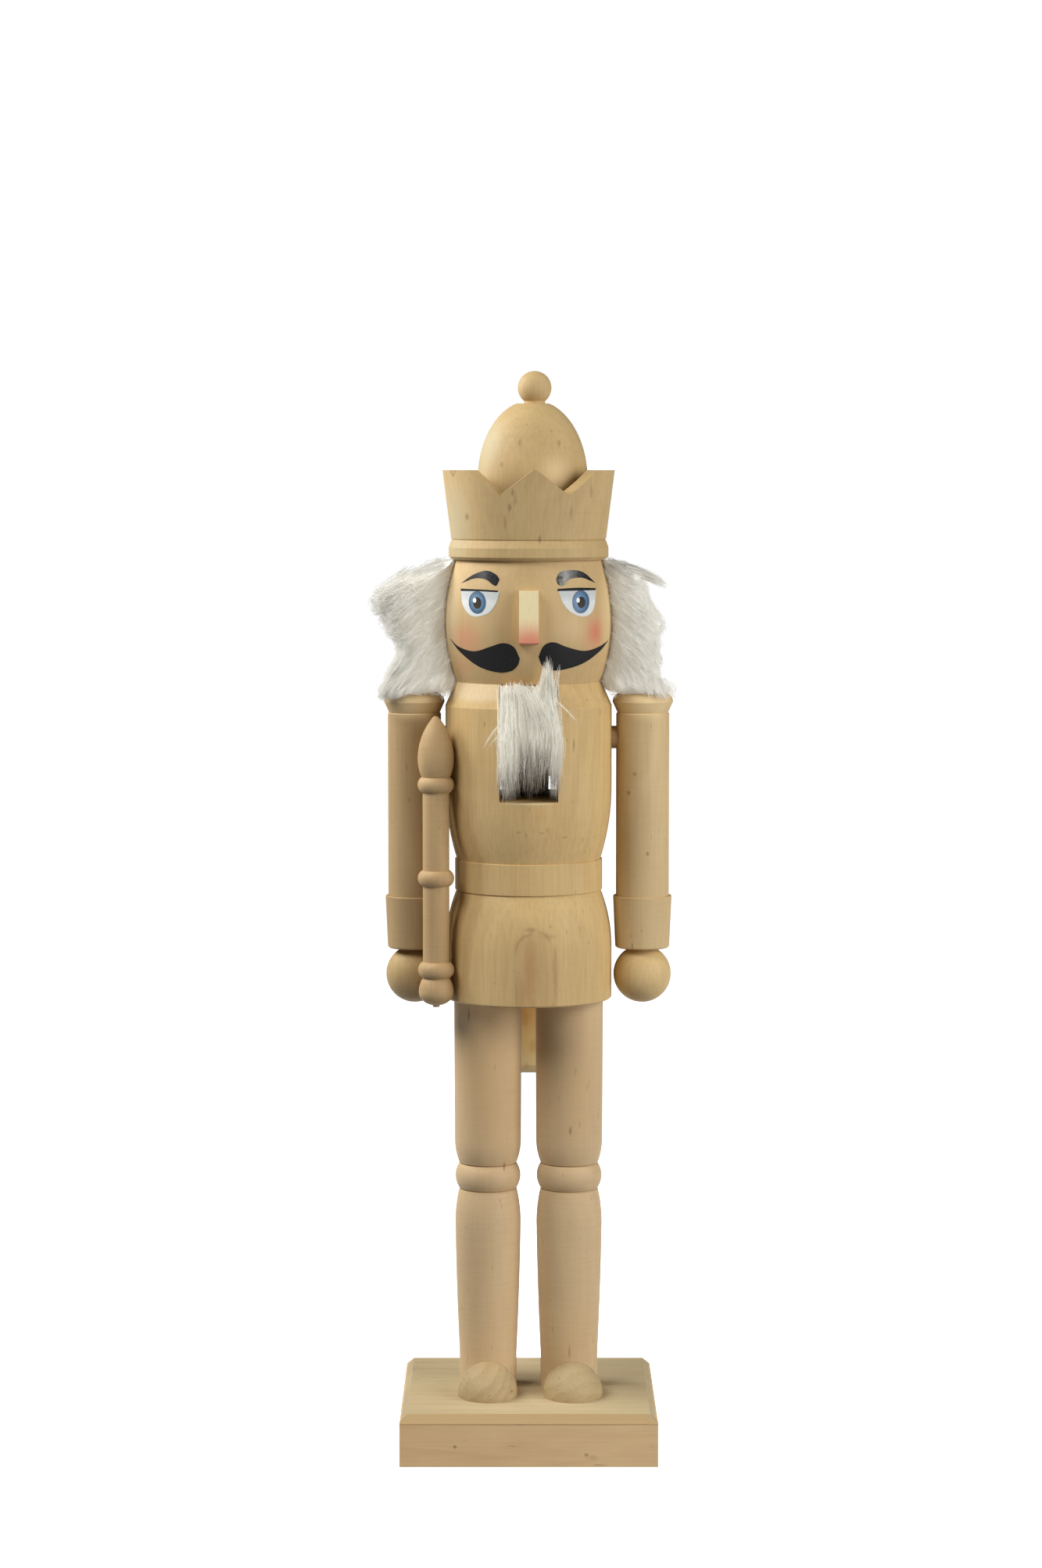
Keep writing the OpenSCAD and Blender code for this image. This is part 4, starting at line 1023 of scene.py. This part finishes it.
def combed(comb, rng, coat, count, accept):
    for root, normal in rootsOn(coat, count, rng, accept):
        edge = hair["edges"][-1 if root.x < 0 else 1]
        share = downShare(root.z)
        slope = slopeAt(share, rng.gauss(0, comb["slopeVary"]))
        out = Vector((root.x, root.y, 0.0)).normalized()
        flow = out * math.cos(slope) - Vector((0, 0, math.sin(slope)))
        flow = (flow - normal * flow.dot(normal) * comb["lie"]).normalized()
        tip = root + flow * rng.uniform(*comb["length"])
        limit = abs(edgeAt(edge, tip.z)) * rng.uniform(*comb["inside"])
        if abs(tip.x) > limit and abs(tip.x) > abs(root.x):
            part = (limit - abs(root.x)) / (abs(tip.x) - abs(root.x))
            tip = root.lerp(tip, max(comb["shortest"], part))
        tip = offTheCap(tip)
        bend = root.lerp(tip, 0.5) + normal * comb["lift"] * (1.0 - max(0.0, normal.z))
        bend = bend + Vector((0, 0, comb["rise"] * min(1.0, 2.0 * share)))
        yield root - normal * comb["sink"], bend, tip


def wisps(wisp, rng, sign):
    # clumps that reach the photographed outline
    edge = hair["edges"][sign]
    for _ in range(wisp["count"]):
        z = rng.uniform(edge[-1][1] + wisp["low"], edge[0][1] - wisp["high"])
        tipX = edgeAt(edge, z) * rng.uniform(*wisp["reach"])
        tip = Vector((tipX, rng.uniform(*wisp["depth"]), z))
        share = downShare(z)
        slope = slopeAt(share)
        length = min(rng.uniform(*wisp["length"]), (abs(tip.x) - barrel["belly"]) / math.cos(slope))
        root = tip + Vector((-sign * math.cos(slope), 0.0, math.sin(slope))) * length
        root.z = min(root.z, hair["top"] - abs(rng.gauss(0, 1)))
        rise = Vector((0.0, wisp["forward"], wisp["rise"] * min(1.0, 2.0 * share)))
        bend = root.lerp(tip, 0.5) + rise
        yield root, bend, offTheCap(tip)


def fringes(fringe, rng, sign):
    # the fall over the arm's cap
    for _ in range(fringe["count"]):
        x = sign * rng.uniform(*fringe["x"])
        hem = edgeAt(hair["hem"], abs(x)) + abs(rng.gauss(0, fringe["vary"]))
        rootX = x - sign * fringe["inward"]
        root = Vector((rootX, rng.uniform(*fringe["rootDepth"]), hem + fringe["rootUp"]))
        bend = Vector((x, fringe["bendDepth"], hem + fringe["bendUp"]))
        tip = Vector((x + sign, rng.uniform(*fringe["tipDepth"]), hem))
        yield root, bend, tip


def hairlines(line, rng, sign):
    for _ in range(line["count"]):
        z = rng.uniform(*line["z"])
        root = Vector((sign * (barrelRadius(z) + line["lift"]), rng.uniform(*line["depth"]), z))
        out = sign * rng.uniform(*line["out"])
        tip = root + Vector((out, rng.uniform(*line["forward"]), rng.uniform(*line["down"])))
        yield root, root.lerp(tip, 0.5) + Vector(line["bend"]), tip


def spikes(spike, rng):
    # the lock that stands off the figure's left side
    for _ in range(spike["count"]):
        lift = rng.uniform(*spike["lift"])
        root, bend, tip = (
            Vector((x, rng.uniform(*spike["depth"]), z + lift)) for x, z in spike["line"])
        tip.x -= abs(rng.gauss(0, spike["shorter"]))
        yield root, bend, tip


def offTheHead(p):
    return math.hypot(p.x, p.y) > barrel["belly"] + hair["skin"]


def comb(count, accept):
    return grow(combed, hair["comb"], hairRng, hairCoatPiece, count, accept)


hairFur = furMaterial("hairFur", hair["glow"], edges=hair["edges"])
hairRng = random.Random(hair["seed"])
hairCoatPiece = coatPiece("hairCoat", "hair", "figure", hairCoat, hairFur)
for side, sign in (("Right", -1), ("Left", 1)):
    front = comb(hair["frontClumps"], lambda p, n: p.x * sign > 0
                 and n.y < hair["frontFacing"] and fromFront(p) < hair["frontAngle"])
    front += grow(wisps, hair["wisps"], hairRng, sign)
    front += grow(fringes, hair["fringe"], hairRng, sign)
    front += grow(hairlines, hair["hairline"], hairRng, sign)
    if sign > 0:
        front += grow(spikes, hair["spike"], hairRng)
    strandPiece("hairFront" + side, front, "figure", hairFur)
    flank = comb(hair["clumps"], lambda p, n: p.x * sign > 0 and n.y >= hair["frontFacing"]
                 and fromFront(p) < hair["sideAngle"] and offTheHead(p))
    strandPiece("hairSide" + side, flank, "figure", hairFur)
nape = comb(hair["clumps"], lambda p, n: fromFront(p) >= hair["sideAngle"] and offTheHead(p))
strandPiece("hairBack", nape, "figure", hairFur)
print("hair combed")


# beard: a patch of fur on the jaw that hangs over the slot
jawLow, jawHigh = (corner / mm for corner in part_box("jaw_block"))
beard = dict(
    # glow is the painted glow of the fur
    seed=5, fine=0.75, glow=(0.11, 0.11, 0.11), tone=(0.99, 0.985, 0.96), streaks=0.9, deep=0.88,
    coat=dict(widen=1.04, drawIn=0.6, hem=258.0, topShare=0.86, hemShare=0.3),
    # guide locks from the figure's right to its left: root, bend and tip as (x, z),
    # and how unevenly the tips end
    locks=(
        ((-8.7, 269.5), (-9.1, 252.0), (-8.6, 234.0), 5.0),
        ((-7.2, 270.4), (-7.4, 250.0), (-6.2, 229.8), 6.0),
        ((-5.2, 270.6), (-5.0, 255.0), (-4.6, 237.0), 8.0),
        ((-3.6, 270.6), (2.2, 259.0), (0.2, 246.0), 9.0),
        ((-0.4, 270.6), (6.8, 258.0), (4.6, 246.0), 9.0),
        ((4.2, 270.4), (10.0, 257.0), (8.4, 241.0), 8.0),
        ((7.8, 268.5), (10.8, 255.0), (9.2, 233.0), 6.0),
    ),
    pile=dict(
        count=440, sink=17.0, sinkPower=1.5, follow=20.0, out=(3.5, 6.5), rootOut=(0.5, 2.5),
        vary=0.9, bendOut=1.1, tipOut=0.5, bendDrop=3.0, tipDrop=8.0, clump=(12, 0.9, 0.9)),
    # loose hairs: how many clumps, between which x, and how low they end
    loose=dict(
        rows=((120, (-9.2, 9.6), (231.5, 243.0)), (36, (-10.1, -7.2), (230.6, 236.0)),
              (20, (8.3, 9.9), (230.6, 234.0))),
        root=(244.0, 256.0), rootOut=1.5, tipOut=1.0, vary=0.8, bend=(0.0, -2.5, 0.0),
        clump=(5, 0.7, 0.8)),
    tuft=dict(
        count=38, rootX=(1.8, 9.4), rootZ=(261.0, 269.0), rootOut=1.0, neck=274.5, neckDrop=3.5,
        bendOut=5.0, lean=(0.4, 0.6), tipOut=(3.0, 5.5), tipDrop=7.0, tipBack=0.4,
        tips=((5.6, 280.6), (6.3, 281.6), (7.0, 282.2), (7.6, 281.4), (8.2, 280.0),
              (6.6, 279.0), (10.6, 279.2)),
        clump=(7, 0.6, 0.4)),
    strays=dict(
        rootOut=2.0, tipOut=1.5, bend=(0.0, -1.5, 0.8), clump=(6, 0.35, 0.3),
        hairs=(((-10.2, 257.0), (-16.2, 249.2)), ((10.2, 265.3), (17.4, 257.6)),
               ((-10.4, 254.0), (-14.0, 249.4)))),
    # painted shade on the ends over the slot: the heights it fades between, its unevenness, how far
    # the middle rises, its depth and colour
    ends=dict(
        fade=(229.0, 248.0), uneven=44.0, middle=1.5, middleFade=(2.0, 8.0), higher=6.0,
        depth=0.8, colour=(0.21, 0.165, 0.105)),
)


def beardCoat(p):
    coat = beard["coat"]
    share = coat["topShare" if p.z > coat["hem"] else "hemShare"]
    y = jawLow.y + (p.y - jawLow.y) * coat["drawIn"]
    return Vector((p.x * coat["widen"], y, coat["hem"] + (p.z - coat["hem"]) * share))


def lockAt(share):
    # root, bend, tip and unevenness between two neighbouring guide locks
    locks = beard["locks"]
    i = min(int(share * (len(locks) - 1)), len(locks) - 2)
    part = share * (len(locks) - 1) - i
    a, b = locks[i], locks[i + 1]
    points = [Vector(p).lerp(Vector(q), part) for p, q in zip(a[:3], b[:3])]
    return points, a[3] + (b[3] - a[3]) * part


def pileLocks(pile, rng):
    for _ in range(pile["count"]):
        (root, bend, tip), uneven = lockAt(rng.random())
        sink = pile["sink"] * rng.random() ** pile["sinkPower"]
        end = tip.y + abs(rng.gauss(0, uneven))
        out = rng.uniform(*pile["out"])
        rootX = root.x + (bend.x - root.x) * sink / pile["follow"]
        a = Vector((rootX, jawLow.y - rng.uniform(*pile["rootOut"]), root.y - sink))
        bendX = bend.x + rng.gauss(0, pile["vary"])
        b = Vector((bendX, jawLow.y - out * pile["bendOut"], min(bend.y, a.z - pile["bendDrop"])))
        tipX = tip.x + rng.gauss(0, pile["vary"])
        c = Vector((tipX, jawLow.y - out * pile["tipOut"], min(end, a.z - pile["tipDrop"])))
        yield a, b, c


def looseEnds(loose, rng):
    # loose hairs over the slot
    for count, width, hem in loose["rows"]:
        for _ in range(count):
            x = rng.uniform(*width)
            root = Vector((x, jawLow.y - loose["rootOut"], rng.uniform(*loose["root"])))
            tipX = x + rng.gauss(0, loose["vary"])
            tip = Vector((tipX, jawLow.y - loose["tipOut"], rng.uniform(*hem)))
            bend = root.lerp(tip, 0.5) + Vector(loose["bend"])
            yield root, bend, tip


def tufts(tuft, rng):
    # the tuft that stands up over the moustache
    toRoot, toTip = tuft["lean"]
    for _ in range(tuft["count"]):
        tipX, tipZ = rng.choice(tuft["tips"])
        rootX = rng.uniform(*tuft["rootX"])
        root = Vector((rootX, jawLow.y - tuft["rootOut"], rng.uniform(*tuft["rootZ"])))
        short = rng.random() ** 2
        shortX = tipX + (rootX - tipX) * short * tuft["tipBack"]
        tipY = jawLow.y - rng.uniform(*tuft["tipOut"])
        tip = Vector((shortX, tipY, tipZ - tuft["tipDrop"] * short))
        bendX = rootX * toRoot + tipX * toTip
        bend = Vector((bendX, jawLow.y - tuft["bendOut"], tuft["neck"] - tuft["neckDrop"] * short))
        yield root, bend, tip


def strays(stray, rng):
    for (rootX, rootZ), (tipX, tipZ) in stray["hairs"]:
        root = Vector((rootX, jawLow.y - stray["rootOut"], rootZ))
        tip = Vector((tipX, jawLow.y - stray["tipOut"], tipZ))
        bend = root.lerp(tip, 0.5) + Vector(stray["bend"])
        yield root, bend, tip


beardFur = furMaterial("beardFur", beard["glow"], tone=beard["tone"], ends=beard["ends"],
                       streaks=beard["streaks"], deep=beard["deep"])
beardRng = random.Random(beard["seed"])
beardCoatPiece = coatPiece("beardCoat", "beard", "jaw", beardCoat, beardFur)
pileHairs = grow(pileLocks, beard["pile"], beardRng)
beardPilePiece = strandPiece("beardPile", pileHairs, "jaw", beardFur, beard["fine"])
endHairs = grow(looseEnds, beard["loose"], beardRng)
endHairs += grow(tufts, beard["tuft"], beardRng)
endHairs += grow(strays, beard["strays"], beardRng)
beardEndsPiece = strandPiece("beardEnds", endHairs, "jaw", beardFur, beard["fine"])
for piece in (beardCoatPiece, beardPilePiece, beardEndsPiece):
    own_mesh(piece)
print("beard combed")
